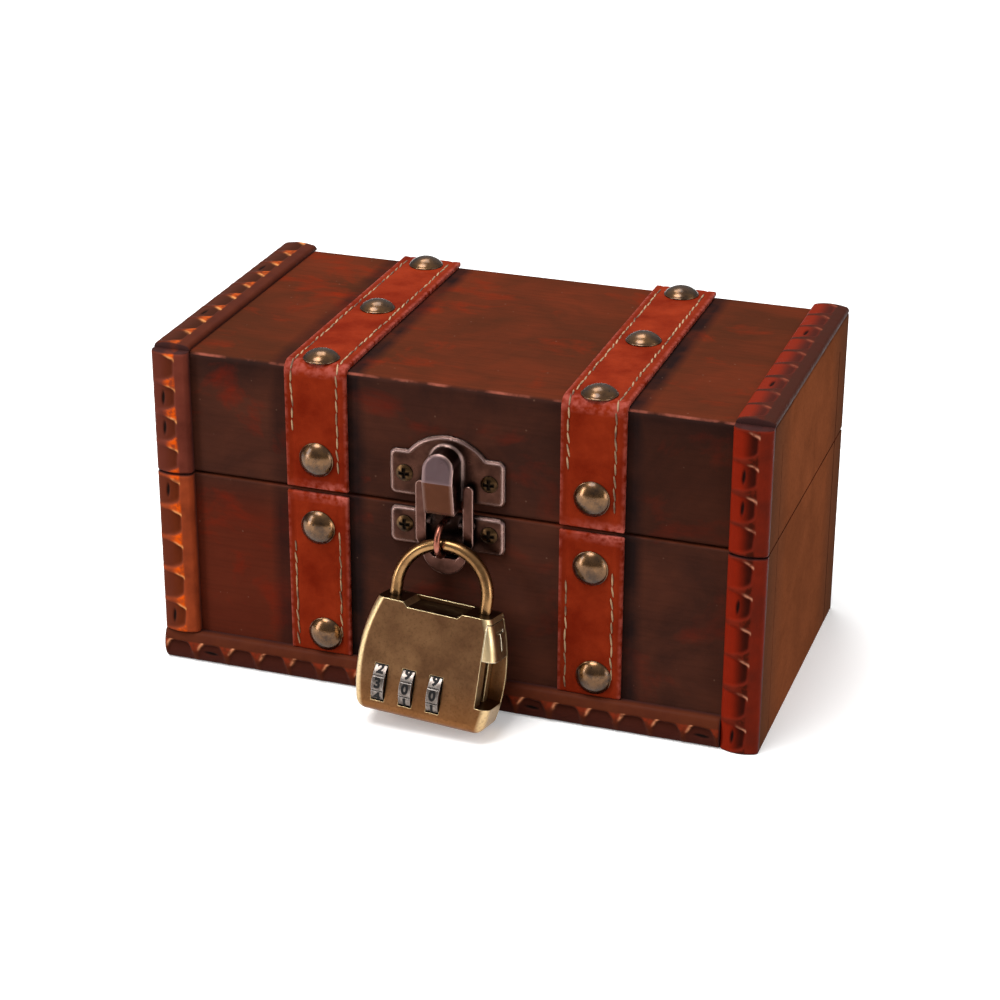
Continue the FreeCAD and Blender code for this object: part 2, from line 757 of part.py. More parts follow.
pockets = []
for x, end in zip(leg_x, leg_end):
    start = Vector(x, 0, case_top + 1)
    pockets.append(rod(shackle_radius + running_clearance, start, Vector(x, 0, end - room)))
for x in dial_x:
    half = dial_thickness / 2 + room
    start = Vector(x - half, dial_y, dial_z)
    pockets.append(rod(dial_radius + room, start, Vector(x + half, dial_y, dial_z)))
    pockets.append(block(
        x - half, x + half, face_y - 1, dial_y - dial_radius / 2,
        dial_z - dial_window_length / 2, dial_z + dial_window_length / 2))
axle_ends = (dial_x[0] - dial_thickness / 2 - dial_axle_overhang, dial_x[2] + dial_thickness / 2 + dial_axle_overhang)
axle = rod(dial_axle_radius, Vector(axle_ends[0], dial_y, dial_z), Vector(axle_ends[1], dial_y, dial_z))
retainer_z = leg_end[0] + retainer_above_leg_end
retainer_x = leg_x[0] + shackle_radius - retainer_notch_depth + retainer_radius + room
retainer = rod(retainer_radius, Vector(retainer_x, face_y / 2, retainer_z), Vector(retainer_x, parting_y, retainer_z))

recess = outline(
    lambda x, z: Vector(lock_x + x, face_y - 1, z), (top_recess_half_width + top_recess_depth, case_top),
    [(top_recess_half_width, case_top - top_recess_depth), (-top_recess_half_width, case_top - top_recess_depth),
     (-top_recess_half_width - top_recess_depth, case_top)])
recess = recess.extrude(Vector(0, parting_y - face_y + 1, 0))

slider_x = lock_x + leg_outside + slider_wall
slider_top = case_top - slider_top_drop
slider_low = slider_top - slider_height
slider_reach = lock_x + 2 * case_bulge_half_width
slot_low = slider_low - slider_slot_run
slider_seat_cut = block(slider_x, slider_reach, face_y - 1, parting_y, slot_low, slider_top + room)
rib_half = slider_rib_width / 2
rib_top = slider_low + slider_rib_height
rib_slot = block(
    slider_x - slider_rib_reach - room, slider_x + 1, -rib_half - room, rib_half + room,
    slot_low, rib_top + room)

cuts = pockets + [axle, retainer, recess, slider_seat_cut, rib_slot]
save("padlock_case", hang(blank.cut(cuts)))
save("padlock_back_cover", hang(cover.cut(pockets)))
save("padlock_dial_axle", hang(axle))
save("padlock_shackle_pin", hang(retainer))

# Release slider: it fills the upper right side of the case and runs down on a rib

slider = blank.common(block(slider_x + room / 2, slider_reach, face_y - 1, parting_y - room / 2, slider_low, slider_top))
rib = block(slider_x - slider_rib_reach, slider_x + 1, -rib_half, rib_half, slider_low, rib_top)
slider = slider.fuse(rib).removeSplitter()
mark_z = (slider_top + slider_low) / 2
mark_x = lock_x + case_top_half_width + (case_bulge_half_width - case_top_half_width) / 2 - slider_slot_depth
half_mark = slider_slot_length / 2
mark_bar = block(
    mark_x, slider_reach, -half_mark, half_mark,
    mark_z + half_mark - slider_slot_width, mark_z + half_mark)
mark_stem = block(
    mark_x, slider_reach, -slider_slot_width / 2, slider_slot_width / 2, mark_z - half_mark, mark_z + half_mark)
save("padlock_slider", hang(slider.cut([mark_bar, mark_stem])))

# Shackle: a half-round arch, a long leg with a notch for its pin, and a short leg

arch = half_bend(shackle_radius, Vector(leg_x[0], 0, arch_z), UP, Vector(lock_x, 0, arch_z), BACKWARD)
legs = [rod(shackle_radius, Vector(x, 0, arch_z), Vector(x, 0, end)) for x, end in zip(leg_x, leg_end)]
shackle = arch.fuse(legs).removeSplitter()
notch_low = retainer_z - retainer_radius - room - shackle_travel
notch = block(
    leg_x[0] + shackle_radius - retainer_notch_depth, leg_x[0] + 2 * shackle_radius, -shackle_radius,
    shackle_radius, notch_low, retainer_z + retainer_radius + room)
save("padlock_shackle", hang(shackle.cut(notch)))

# Dial wheels: ten flats for numerals, parted by fine grooves

for x, word in zip(dial_x, ("left", "middle", "right")):
    start = Vector(x - dial_thickness / 2, dial_y, dial_z)
    end = Vector(x + dial_thickness / 2, dial_y, dial_z)
    dial = rod(dial_radius, start, end)
    grooves = []
    for index in range(dial_flats):
        groove = block(
            start.x - 1, end.x + 1, -dial_groove_width / 2, dial_groove_width / 2,
            dial_radius - dial_groove_depth, dial_radius + 1)
        groove.rotate(ORIGIN, ACROSS, 360 * index / dial_flats)
        groove.translate(Vector(0, dial_y, dial_z))
        grooves.append(groove)
    bore = rod(dial_axle_radius + running_clearance, start, end)
    save("padlock_" + word + "_dial", hang(dial.cut(grooves + [bore])))
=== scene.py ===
import math
import random

import bmesh
import bpy
from mathutils import Matrix, Vector, noise


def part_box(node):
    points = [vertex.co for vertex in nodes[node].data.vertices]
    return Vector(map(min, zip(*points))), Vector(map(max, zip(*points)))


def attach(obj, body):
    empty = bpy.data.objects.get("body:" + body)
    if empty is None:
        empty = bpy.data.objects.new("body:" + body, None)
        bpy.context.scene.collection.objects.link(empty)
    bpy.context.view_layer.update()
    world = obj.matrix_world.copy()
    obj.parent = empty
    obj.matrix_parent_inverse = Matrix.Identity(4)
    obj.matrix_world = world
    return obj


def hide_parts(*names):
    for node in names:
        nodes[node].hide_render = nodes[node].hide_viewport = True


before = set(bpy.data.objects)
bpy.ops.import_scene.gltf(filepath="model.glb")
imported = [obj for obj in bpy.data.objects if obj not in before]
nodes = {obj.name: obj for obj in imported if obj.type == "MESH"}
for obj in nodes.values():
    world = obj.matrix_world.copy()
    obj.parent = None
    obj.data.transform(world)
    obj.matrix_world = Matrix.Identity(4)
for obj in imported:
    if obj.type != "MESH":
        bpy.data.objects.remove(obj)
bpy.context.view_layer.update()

# Boards of the box and the lid: planed softwood 6 to 9 mm thick, glued at the corners.
# They are brushed with a red-brown lacquer that lies thick in places, is rubbed thin in others and
# holds dust and soot, with painted shadow beside the straps and painted light and shade across the front. The
# long edges are worn through to a paler ground.

mm = 0.001
board_front, board_top = -41.75 * mm, 86.6 * mm


def linear(colour):
    # An sRGB hex colour as linear values
    shares = [int(colour[i:i + 2], 16) / 255 for i in (1, 3, 5)]
    return [c / 12.92 if c <= 0.04045 else ((c + 0.055) / 1.055) ** 2.4 for c in shares] + [1.0]


def add(tree, kind, links=None, **settings):
    # Adds a node with its settings. Each input takes a value, or the socket that feeds it. A Map Range's
    # inputs are 0 the value, 1 and 2 its ends, 3 and 4 what they become. A Mix's are 0 the share, 6 and 7
    # the colours.
    node = tree.nodes.new(kind)
    for name, value in settings.items():
        setattr(node, name, value)
    for socket, value in (links or {}).items():
        if isinstance(value, bpy.types.NodeSocket):
            tree.links.new(value, node.inputs[socket])
        else:
            node.inputs[socket].default_value = value
    return node


def surface(name):
    # A new material, with its nodes and its shader
    material = bpy.data.materials.new(name)
    material.use_nodes = True
    return material, material.node_tree, material.node_tree.nodes["Principled BSDF"]


def brushed_lacquer(name):
    # Matt lacquer over a dark stain, brushed along the boards: mottled colour, fine streaks, no gloss.
    # The front is dark plum brown, the top is redder, and the ends are a smooth warm brown.
    material, tree, shader = surface(name)
    coordinates = add(tree, "ShaderNodeTexCoord")
    place = coordinates.outputs["Object"]
    spot = add(tree, "ShaderNodeSeparateXYZ", {0: place})
    facing = add(tree, "ShaderNodeSeparateXYZ", {0: coordinates.outputs["Normal"]})
    up = add(tree, "ShaderNodeMapRange", {0: facing.outputs[2], 1: 0.5, 2: 0.9}).outputs[0]
    across = add(tree, "ShaderNodeMath", {0: facing.outputs[0]}, operation="ABSOLUTE").outputs[0]
    side = add(tree, "ShaderNodeMapRange", {0: across, 1: 0.5, 2: 0.9}).outputs[0]

    # Cloudy patches about 30 mm long and 20 mm high, where the coat is thick or rubbed thin
    cloud_place = add(tree, "ShaderNodeMapping", {
        "Vector": place, "Scale": (1 / (30 * mm), 1 / (20 * mm), 1 / (20 * mm))}).outputs[0]
    cloud = add(tree, "ShaderNodeTexNoise", {
        "Vector": cloud_place, "Scale": 1.0, "Detail": 7.0, "Roughness": 0.62, "Distortion": 0.4})
    thin = add(tree, "ShaderNodeMapRange", {0: cloud.outputs[0], 1: 0.36, 2: 0.66}).outputs[0]
    red_place = add(tree, "ShaderNodeMapping", {
        "Vector": cloud_place, "Location": (7.3, 2.1, 4.4)}).outputs[0]
    red_cloud = add(tree, "ShaderNodeTexNoise", {
        "Vector": red_place, "Scale": 1.3, "Detail": 5.0, "Roughness": 0.6, "Distortion": 0.5})
    # The red ground shows through most on the left of the front, where the gradient is painted light from the
    # left
    left_light_gradient = add(tree, "ShaderNodeMapRange", {
        0: spot.outputs[0], 1: 10 * mm, 2: -70 * mm, 3: 0.35, 4: 0.9}).outputs[0]
    red = add(tree, "ShaderNodeMapRange", {0: red_cloud.outputs[0], 1: 0.54, 2: 0.76}).outputs[0]
    front_share = add(tree, "ShaderNodeMath", {0: red, 1: left_light_gradient}, operation="MULTIPLY").outputs[0]

    front_ground = add(tree, "ShaderNodeMix", {
        0: thin, 6: linear("#3a231d"), 7: linear("#512d22")}, data_type="RGBA").outputs[2]
    # Warmer red towards the lower left of the box front
    lowered = add(tree, "ShaderNodeMapRange", {0: spot.outputs[2], 1: 54 * mm, 2: 44 * mm}).outputs[0]
    corner = add(tree, "ShaderNodeMapRange", {
        0: spot.outputs[0], 1: -40 * mm, 2: -50 * mm, 4: 0.6}).outputs[0]
    lower_left_share = add(tree, "ShaderNodeMath", {0: lowered, 1: corner}, operation="MULTIPLY").outputs[0]
    front_warm = add(tree, "ShaderNodeMix", {
        0: lower_left_share, 6: front_ground, 7: linear("#642515")}, data_type="RGBA").outputs[2]
    # Painted shade: the lid front darkens towards the right
    lifted = add(tree, "ShaderNodeMapRange", {0: spot.outputs[2], 1: 52 * mm, 2: 56 * mm}).outputs[0]
    rightmost = add(tree, "ShaderNodeMapRange", {
        0: spot.outputs[0], 1: 15 * mm, 2: 60 * mm, 4: 0.4}).outputs[0]
    painted_shade_right = add(tree, "ShaderNodeMath", {0: lifted, 1: rightmost}, operation="MULTIPLY").outputs[0]
    front_shaded_right = add(tree, "ShaderNodeMix", {
        0: painted_shade_right, 6: front_warm, 7: linear("#2c1711")}, data_type="RGBA").outputs[2]
    front_red = add(tree, "ShaderNodeMix", {
        0: front_share, 6: front_shaded_right, 7: linear("#801f0d")}, data_type="RGBA").outputs[2]
    top_ground = add(tree, "ShaderNodeMix", {
        0: thin, 6: linear("#4c2719"), 7: linear("#622b1a")}, data_type="RGBA").outputs[2]
    top_red = add(tree, "ShaderNodeMix", {
        0: red, 6: top_ground, 7: linear("#7c2612")}, data_type="RGBA").outputs[2]
    end_ground = add(tree, "ShaderNodeMix", {
        0: thin, 6: linear("#76432a"), 7: linear("#894e31")}, data_type="RGBA").outputs[2]

    # The end grain of the front and back boards takes the stain greyer than the end boards between them
    reach = add(tree, "ShaderNodeMath", {0: spot.outputs[1]}, operation="ABSOLUTE").outputs[0]
    end_grain = add(tree, "ShaderNodeMapRange", {0: reach, 1: 22 * mm, 2: 40 * mm, 4: 0.8}).outputs[0]
    end_colour = add(tree, "ShaderNodeMix", {
        0: end_grain, 6: end_ground, 7: linear("#583b2d")}, data_type="RGBA").outputs[2]
    with_top = add(tree, "ShaderNodeMix", {0: up, 6: front_red, 7: top_red}, data_type="RGBA").outputs[2]
    with_ends = add(tree, "ShaderNodeMix", {
        0: side, 6: with_top, 7: end_colour}, data_type="RGBA").outputs[2]

    # Brush streaks 0.8 mm wide and 18 mm long, along the boards
    streak_place = add(tree, "ShaderNodeMapping", {
        "Vector": place, "Scale": (1 / (18 * mm), 1 / (0.8 * mm), 1 / (0.8 * mm))}).outputs[0]
    streak = add(tree, "ShaderNodeTexNoise", {
        "Vector": streak_place, "Scale": 1.0, "Detail": 4.0, "Roughness": 0.6})
    dark_streak = add(tree, "ShaderNodeMapRange", {
        0: streak.outputs[0], 1: 0.45, 2: 0.75, 4: 0.22}).outputs[0]
    streaked = add(tree, "ShaderNodeMix", {
        0: dark_streak, 6: with_ends, 7: linear("#2c1912")}, data_type="RGBA").outputs[2]

    # Soot and painted shadow lie in lines 3 mm wide beside the straps, where they stand for the straps'
    # shade, and soot along the top of the front, broken into blotches about 12 mm long, on the outside only
    shadow_bands = []
    for strap_edge, share in ((-26.6 * mm, 1.0), (45.4 * mm, 1.0), (-45.8 * mm, 0.7)):
        off = add(tree, "ShaderNodeMath", {
            0: spot.outputs[0], 1: strap_edge}, operation="SUBTRACT").outputs[0]
        near = add(tree, "ShaderNodeMath", {0: off}, operation="ABSOLUTE").outputs[0]
        shadow_bands.append(add(tree, "ShaderNodeMapRange", {
            0: near, 1: 1.2 * mm, 2: 4.0 * mm, 3: share, 4: 0.0}).outputs[0])
    right_sides = add(tree, "ShaderNodeMath", {0: shadow_bands[0], 1: shadow_bands[1]}, operation="MAXIMUM").outputs[0]
    strap_shadow = add(tree, "ShaderNodeMath", {0: right_sides, 1: shadow_bands[2]}, operation="MAXIMUM").outputs[0]
    rim = add(tree, "ShaderNodeMapRange", {
        0: spot.outputs[2], 1: board_top - 9.6 * mm, 2: board_top - 1.1 * mm, 4: 0.7}).outputs[0]
    upright = add(tree, "ShaderNodeMath", {0: 1.0, 1: up}, operation="SUBTRACT").outputs[0]
    front_rim = add(tree, "ShaderNodeMath", {0: rim, 1: upright}, operation="MULTIPLY").outputs[0]
    soot_and_shadow = add(tree, "ShaderNodeMath", {0: strap_shadow, 1: front_rim}, operation="MAXIMUM").outputs[0]
    smudge = add(tree, "ShaderNodeTexNoise", {"Vector": place, "Scale": 1 / (12 * mm), "Detail": 4.0})
    blotchy = add(tree, "ShaderNodeMapRange", {
        0: smudge.outputs[0], 1: 0.3, 2: 0.62, 3: 0.3, 4: 0.9}).outputs[0]
    blotchy_soot_and_shadow = add(tree, "ShaderNodeMath", {0: soot_and_shadow, 1: blotchy}, operation="MULTIPLY").outputs[0]
    on_front = add(tree, "ShaderNodeMapRange", {
        0: spot.outputs[1], 1: board_front + 1.25 * mm, 2: board_front + 0.45 * mm}).outputs[0]
    on_top = add(tree, "ShaderNodeMapRange", {
        0: spot.outputs[2], 1: board_top - 1.1 * mm, 2: board_top - 0.4 * mm}).outputs[0]
    outside = add(tree, "ShaderNodeMath", {0: on_front, 1: on_top}, operation="MAXIMUM").outputs[0]
    soot_and_shadow_share = add(tree, "ShaderNodeMath", {0: blotchy_soot_and_shadow, 1: outside}, operation="MULTIPLY").outputs[0]
    sooted_and_shaded = add(tree, "ShaderNodeMix", {
        0: soot_and_shadow_share, 6: streaked, 7: linear("#1b1617")}, data_type="RGBA").outputs[2]

    # The rounded long edges are rubbed through in a thin line, in lengths of about 5 mm
    rising = add(tree, "ShaderNodeMapRange", {0: facing.outputs[2], 1: 0.45, 2: 0.6}).outputs[0]
    falling = add(tree, "ShaderNodeMapRange", {0: facing.outputs[2], 1: 0.9, 2: 0.75}).outputs[0]
    on_edge = add(tree, "ShaderNodeMath", {0: rising, 1: falling}, operation="MULTIPLY").outputs[0]
    rub_noise = add(tree, "ShaderNodeTexNoise", {"Vector": place, "Scale": 1 / (5 * mm), "Detail": 5.0})
    rub = add(tree, "ShaderNodeMapRange", {0: rub_noise.outputs[0], 1: 0.42, 2: 0.64, 4: 0.7}).outputs[0]
    high = add(tree, "ShaderNodeMapRange", {
        0: spot.outputs[2], 1: 60 * mm, 2: 78 * mm, 3: 0.15, 4: 1.0}).outputs[0]
    handled_edge = add(tree, "ShaderNodeMath", {0: on_edge, 1: high}, operation="MULTIPLY").outputs[0]
    worn = add(tree, "ShaderNodeMath", {0: handled_edge, 1: rub}, operation="MULTIPLY").outputs[0]
    rubbed = add(tree, "ShaderNodeMix", {
        0: worn, 6: sooted_and_shaded, 7: linear("#a35a49")}, data_type="RGBA").outputs[2]

    # Dust specks about 0.4 mm across, a few to each square centimetre
    specks = add(tree, "ShaderNodeTexVoronoi", {"Vector": place, "Scale": 1 / (4.5 * mm)})
    speck = add(tree, "ShaderNodeMapRange", {
        0: specks.outputs["Distance"], 1: 0.03, 2: 0.07, 3: 0.25, 4: 0.0}).outputs[0]
    dusty = add(tree, "ShaderNodeMix", {
        0: speck, 6: rubbed, 7: linear("#8d6a58")}, data_type="RGBA").outputs[2]
    tree.links.new(dusty, shader.inputs["Base Color"])
    sheen = add(tree, "ShaderNodeMapRange", {
        0: cloud.outputs[0], 1: 0.3, 2: 0.7, 3: 0.62, 4: 0.45}).outputs[0]
    tree.links.new(sheen, shader.inputs["Roughness"])
    relief = add(tree, "ShaderNodeBump", {
        "Height": streak.outputs[0], "Strength": 0.25, "Distance": 0.12 * mm}).outputs[0]
    uneven = add(tree, "ShaderNodeBump", {
        "Height": cloud.outputs[0], "Strength": 0.4, "Distance": 0.5 * mm, "Normal": relief}).outputs[0]
    tree.links.new(uneven, shader.inputs["Normal"])
    shader.inputs["IOR"].default_value = 1.48
    shader.inputs["Specular IOR Level"].default_value = 0.0
    return material


def finish(material, *names):
    # Gives CAD nodes a material, as they are
    for name in names:
        nodes[name].data.materials.clear()
        nodes[name].data.materials.append(material)


finish(brushed_lacquer("brushed matt lacquer on softwood"),
       "box_front_board", "box_back_board", "box_bottom_board", "box_left_end", "box_right_end",
       "lid_front_board", "lid_back_board", "lid_top_board", "lid_left_end", "lid_right_end")

# Mouldings: half-round softwood strips with a row of gouged scoops along one side and a plain bead
# along the other, cut from one long run, so on both ends of the chest the scoops open to the left.
# They are stained, left dark in the scoops with painted shade at their deepest ends, and rubbed bright on the
# points between them.

scoop_pitch = 9.0 * mm
scoop_reach = 0.71  # of the strip's width
gouge_mark, gouge_depth = 2.2 * mm, 0.08 * mm
corner_round, corner_drop = 0.7 * mm, 0.5 * mm
end_round, end_drop = 0.6 * mm, 0.4 * mm
nail_from_edge = 3.2 * mm
pit_width, pit_length, pit_depth = 0.5 * mm, 1.9 * mm, 0.3 * mm
chance = random.Random(11)


def ease(value):
    # A smooth step from 0 to 1
    value = min(1.0, max(0.0, value))
    return value * value * (3 - 2 * value)


def carved_strip(length, width, edge, crown, nail_shares):
    # Across from the bead to the open edge, outwards, then along. Each vertex keeps what the colour follows:
    # a scoop and the painted shade at its deepest end, the point between two scoops, a pale lip, end grain,
    # and a nail's pit.
    strip = bmesh.new()
    hollow, deep_shade, point, lip, raw, pit = [
        strip.verts.layers.float.new(word) for word in ("hollow", "deep_shade", "point", "lip", "raw", "pit")]
    bmesh.ops.create_grid(strip, x_segments=36, y_segments=max(8, int(length / (0.32 * mm))), size=0.5)
    count = max(1, round(length / scoop_pitch))
    pitch = length / count
    depths = [chance.uniform(0.8, 1.15) for _ in range(count)]
    shifts = [chance.uniform(-0.03, 0.03) for _ in range(count)]
    nails = [(int(share * count) + 0.5) * pitch for share in nail_shares]
    for vertex in strip.verts:
        share = vertex.co.x + 0.5
        along = (vertex.co.y + 0.5) * length
        index = min(count - 1, int(along / pitch))
        height = edge + (crown - edge) * (1 - (2 * share - 1) ** 2)
        rough = noise.noise(Vector((share * width, along, edge)) / gouge_mark)
        inward = (1 - share) / scoop_reach + 0.02 * rough
        offset = 2 * (along / pitch - index - 0.5 - shifts[index])
        if inward < 1:
            # The scoop's outline is 1: a full D, cut straight where it meets the bead
            scoop = ((abs(offset) / 0.97) ** 2.2 + (0.84 * abs(inward)) ** 2.2) ** (1 / 2.2) + 0.03 * rough
            vertex[hollow] = ease((1 - scoop) / 0.2) * ease((1 - inward) / 0.14)
            height -= (crown - edge) * (0.05 + 0.62 * max(0, inward) ** 1.4) * vertex[hollow] * depths[index]
            # Painted shade towards the deepest end of the scoop, by the bead
            vertex[deep_shade] = vertex[hollow] * ease((inward - 0.3) / 0.5)
            outside_scoop = 1 - ease((1 - scoop) / 0.09)
            vertex[point] = outside_scoop * ease((inward - 0.42) / 0.4) * ease((1.02 - inward) / 0.1)
            on_outline = math.exp(-((scoop - 0.97) / 0.06) ** 2)
            vertex[lip] = on_outline * ease((inward - 0.55) / 0.25) * ease((offset - 0.3) / 0.25)
        for nail in nails:
            aside = (share * width - width + nail_from_edge) / pit_width
            ahead = (along - nail) / pit_length + 0.3 * aside
            vertex[pit] = max(vertex[pit], ease(1.6 - 1.2 * math.hypot(aside, ahead)))
        height -= pit_depth * vertex[pit]
        height += gouge_depth * rough
        corner = min(share, 1 - share) * width
        height -= corner_drop * max(0.0, 1 - corner / corner_round) ** 2
        ends = min(along, length - along)
        height -= end_drop * max(0.0, 1 - ends / end_round) ** 2
        if ends < 0.2 * mm:
            vertex[raw] = 1.0
        vertex.co = Vector((share * width, height, along))
    rim = [e for e in strip.edges if e.is_boundary]
    sides = bmesh.ops.extrude_edge_only(strip, edges=rim)["geom"]
    for vertex in sides:
        if isinstance(vertex, bmesh.types.BMVert):
            vertex.co.y = 0.0
            vertex[raw] = 1.0
    bmesh.ops.holes_fill(strip, edges=[e for e in strip.edges if e.is_boundary], sides=0)
    return strip


def piece(name, shape, material, body, slot, *replaced):
    # A finished mesh as an object that rides on a body and stands for CAD nodes
    bmesh.ops.recalc_face_normals(shape, faces=shape.faces)
    mesh = bpy.data.meshes.new(name)
    shape.to_mesh(mesh)
    shape.free()
    mesh.shade_smooth()
    mesh.set_sharp_from_angle(angle=math.radians(48))
    mesh.materials.append(material)
    made = bpy.data.objects.new(name, mesh)
    bpy.context.scene.collection.objects.link(made)
    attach(made, body)
    if replaced:
        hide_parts(*replaced)


def stained_carving(name, bead, scoop, floor, tip, lip):
    # Spirit stain on cut softwood: it sinks in dark where the gouge went across the grain, and the points
    # between the scoops are rubbed bright. The floor colour is painted shade at the deepest end of each
    # scoop. It leaves almost no gloss.
    material, tree, shader = surface(name)
    place = add(tree, "ShaderNodeTexCoord").outputs["Object"]
    # Blotches about 6 mm across in the stain, and chips of 1.5 mm in the rubbed places
    blotch = add(tree, "ShaderNodeTexNoise", {"Vector": place, "Scale": 1 / (6 * mm), "Detail": 5.0})
    uneven = add(tree, "ShaderNodeMapRange", {0: blotch.outputs[0], 1: 0.35, 2: 0.68, 4: 0.5}).outputs[0]
    chips = add(tree, "ShaderNodeTexNoise", {"Vector": place, "Scale": 1 / (1.5 * mm), "Detail": 3.0})
    chipped = add(tree, "ShaderNodeMapRange", {
        0: chips.outputs[0], 1: 0.36, 2: 0.55, 3: 0.25, 4: 1.0}).outputs[0]
    colour = add(tree, "ShaderNodeMix", {
        0: uneven, 6: linear(bead), 7: linear("#431d16")}, data_type="RGBA").outputs[2]
    for word, shade, share in (("hollow", scoop, 1.0), ("deep_shade", floor, 0.9), ("point", tip, chipped),
                               ("lip", lip, chipped), ("raw", "#35201f", 0.9), ("pit", "#0f0b0a", 0.95)):
        held = add(tree, "ShaderNodeAttribute", attribute_name=word).outputs["Fac"]
        part = add(tree, "ShaderNodeMath", {0: held, 1: share}, operation="MULTIPLY").outputs[0]
        colour = add(tree, "ShaderNodeMix", {
            0: part, 6: colour, 7: linear(shade)}, data_type="RGBA").outputs[2]
    tree.links.new(colour, shader.inputs["Base Color"])
    gloss = add(tree, "ShaderNodeMapRange", {
        0: blotch.outputs[0], 1: 0.3, 2: 0.7, 3: 0.5, 4: 0.36}).outputs[0]
    tree.links.new(gloss, shader.inputs["Roughness"])
    # Fibres 0.5 mm wide, as coarse as shows at this distance
    fibre = add(tree, "ShaderNodeTexNoise", {"Vector": place, "Scale": 1 / (0.5 * mm), "Detail": 3.0})
    relief = add(tree, "ShaderNodeBump", {
        "Height": fibre.outputs[0], "Strength": 0.2, "Distance": 0.1 * mm}).outputs[0]
    tree.links.new(relief, shader.inputs["Normal"])
    shader.inputs["IOR"].default_value = 1.48
    shader.inputs["Specular IOR Level"].default_value = 0.02
    return material


left_carving = stained_carving(
    "orange-rubbed stained carving",
    bead="#9c4526", scoop="#5f2b1c", floor="#632a14", tip="#dc560f", lip="#f0a868")
left_lid_carving = stained_carving(
    "plum stained carving",
    bead="#74382c", scoop="#5e2c21", floor="#5a2818", tip="#dc560f", lip="#f0a868")
left_top_carving = stained_carving(
    "orange-rubbed carving on the lid",
    bead="#55271a", scoop="#4c2519", floor="#3d1d11", tip="#b04a18", lip="#d08a50")
right_carving = stained_carving(
    "red stained carving",
    bead="#742314", scoop="#84210f", floor="#260f0a", tip="#3f160c", lip="#d69478")
right_top_carving = stained_carving(
    "red stained carving on the lid",
    bead="#40221a", scoop="#782211", floor="#3d1d17", tip="#4c2017", lip="#7e402e")
bottom_carving = stained_carving(
    "dark stained carving",
    bead="#552818", scoop="#47211a", floor="#3c1a12", tip="#7a2c18", lip="#e89a70")


def place_strip(node, body, material, edge, crown, lies, nail_shares):
    # Carves a strip as long and wide as its plain one, and turns it to where that one lies
    low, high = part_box(node)
    if lies == "upright":
        strip = carved_strip(high.z - low.z, high.x - low.x, edge, crown, nail_shares)
        turn = Matrix(((-1, 0, 0, high.x), (0, -1, 0, high.y), (0, 0, 1, low.z), (0, 0, 0, 1)))
    elif lies == "top":
        strip = carved_strip(high.y - low.y, high.x - low.x, edge, crown, nail_shares)
        turn = Matrix(((-1, 0, 0, high.x), (0, 0, 1, low.y), (0, 1, 0, low.z), (0, 0, 0, 1)))
    else:
        strip = carved_strip(high.x - low.x, high.z - low.z, edge, crown, nail_shares)
        turn = Matrix(((0, 0, -1, high.x), (0, -1, 0, high.y), (-1, 0, 0, high.z), (0, 0, 0, 1)))
    bmesh.ops.transform(strip, matrix=turn, verts=strip.verts)
    piece(node + "_carving", strip, material, body, "carved_wood", node)


# How far the strips stand off the boards, at their edges and at the crown
front_profile = (2.2 * mm, 3.5 * mm)
top_profile = (1.2 * mm, 1.9 * mm)
for node, body, material, profile, lies, nail_shares in (
        ("box_bottom_moulding", "box", bottom_carving, front_profile, "bottom", (0.01, 0.3, 0.6, 0.9)),
        ("box_left_front_moulding", "box", left_carving, front_profile, "upright", (0.1, 0.8)),
        ("box_right_front_moulding", "box", right_carving, front_profile, "upright", (0.1, 0.8)),
        ("lid_left_front_moulding", "lid", left_lid_carving, front_profile, "upright", (0.3, 0.6)),
        ("lid_right_front_moulding", "lid", right_carving, front_profile, "upright", (0.3, 0.6)),
        ("lid_left_top_moulding", "lid", left_top_carving, top_profile, "top", (0.25, 0.75)),
        ("lid_right_top_moulding", "lid", right_top_carving, top_profile, "top", (0.25, 0.75))):
    place_strip(node, body, material, *profile, lies, nail_shares)

# Moulding nails: short iron wire nails with small flat heads. They are driven through the strips into the
# boards, and have gone black.

rust, tree, shader = surface("blackened iron wire")
place = add(tree, "ShaderNodeTexCoord").outputs["Object"]
# Rust shows through in spots about 0.8 mm across
bloom = add(tree, "ShaderNodeTexNoise", {"Vector": place, "Scale": 1 / (0.8 * mm), "Detail": 4.0})
iron = add(tree, "ShaderNodeMix", {
    0: bloom.outputs[0], 6: linear("#16110f"), 7: linear("#3a2a22")}, data_type="RGBA").outputs[2]
tree.links.new(iron, shader.inputs["Base Color"])
shader.inputs["Metallic"].default_value = 1.0
shader.inputs["Roughness"].default_value = 0.45
finish(rust, "box_moulding_nails", "lid_moulding_nails")

# Straps: four lengths of dyed leather 16.5 mm wide. Those on the lid run up the front, bend over the
# edge and lie along the top to the back. Both edges are sewn with a coarse cream thread.

strap_x = 36 * mm
strap_width = 16.5 * mm
strap_thickness = 1.3 * mm
bend_radius = 2.9 * mm
left_row, right_row = -6.3 * mm, 5.7 * mm
stitch_length = 3.3 * mm
stitch_step = 3.3 * mm
thread_width, thread_rise = 0.25 * mm, 0.22 * mm
row_width, row_dip = 0.5 * mm, 0.18 * mm
front_face = board_front - strap_thickness
top_face = board_top + strap_thickness
back_edge = -board_front
box_foot, lid_foot, strap_seam = 8.4 * mm, 54.3 * mm, 53.65 * mm
lid_rise = top_face - bend_radius - lid_foot
bend_length = bend_radius * math.pi / 2
lid_run_length = lid_rise + bend_length + back_edge - front_face - bend_radius
box_run_length = 44.6 * mm


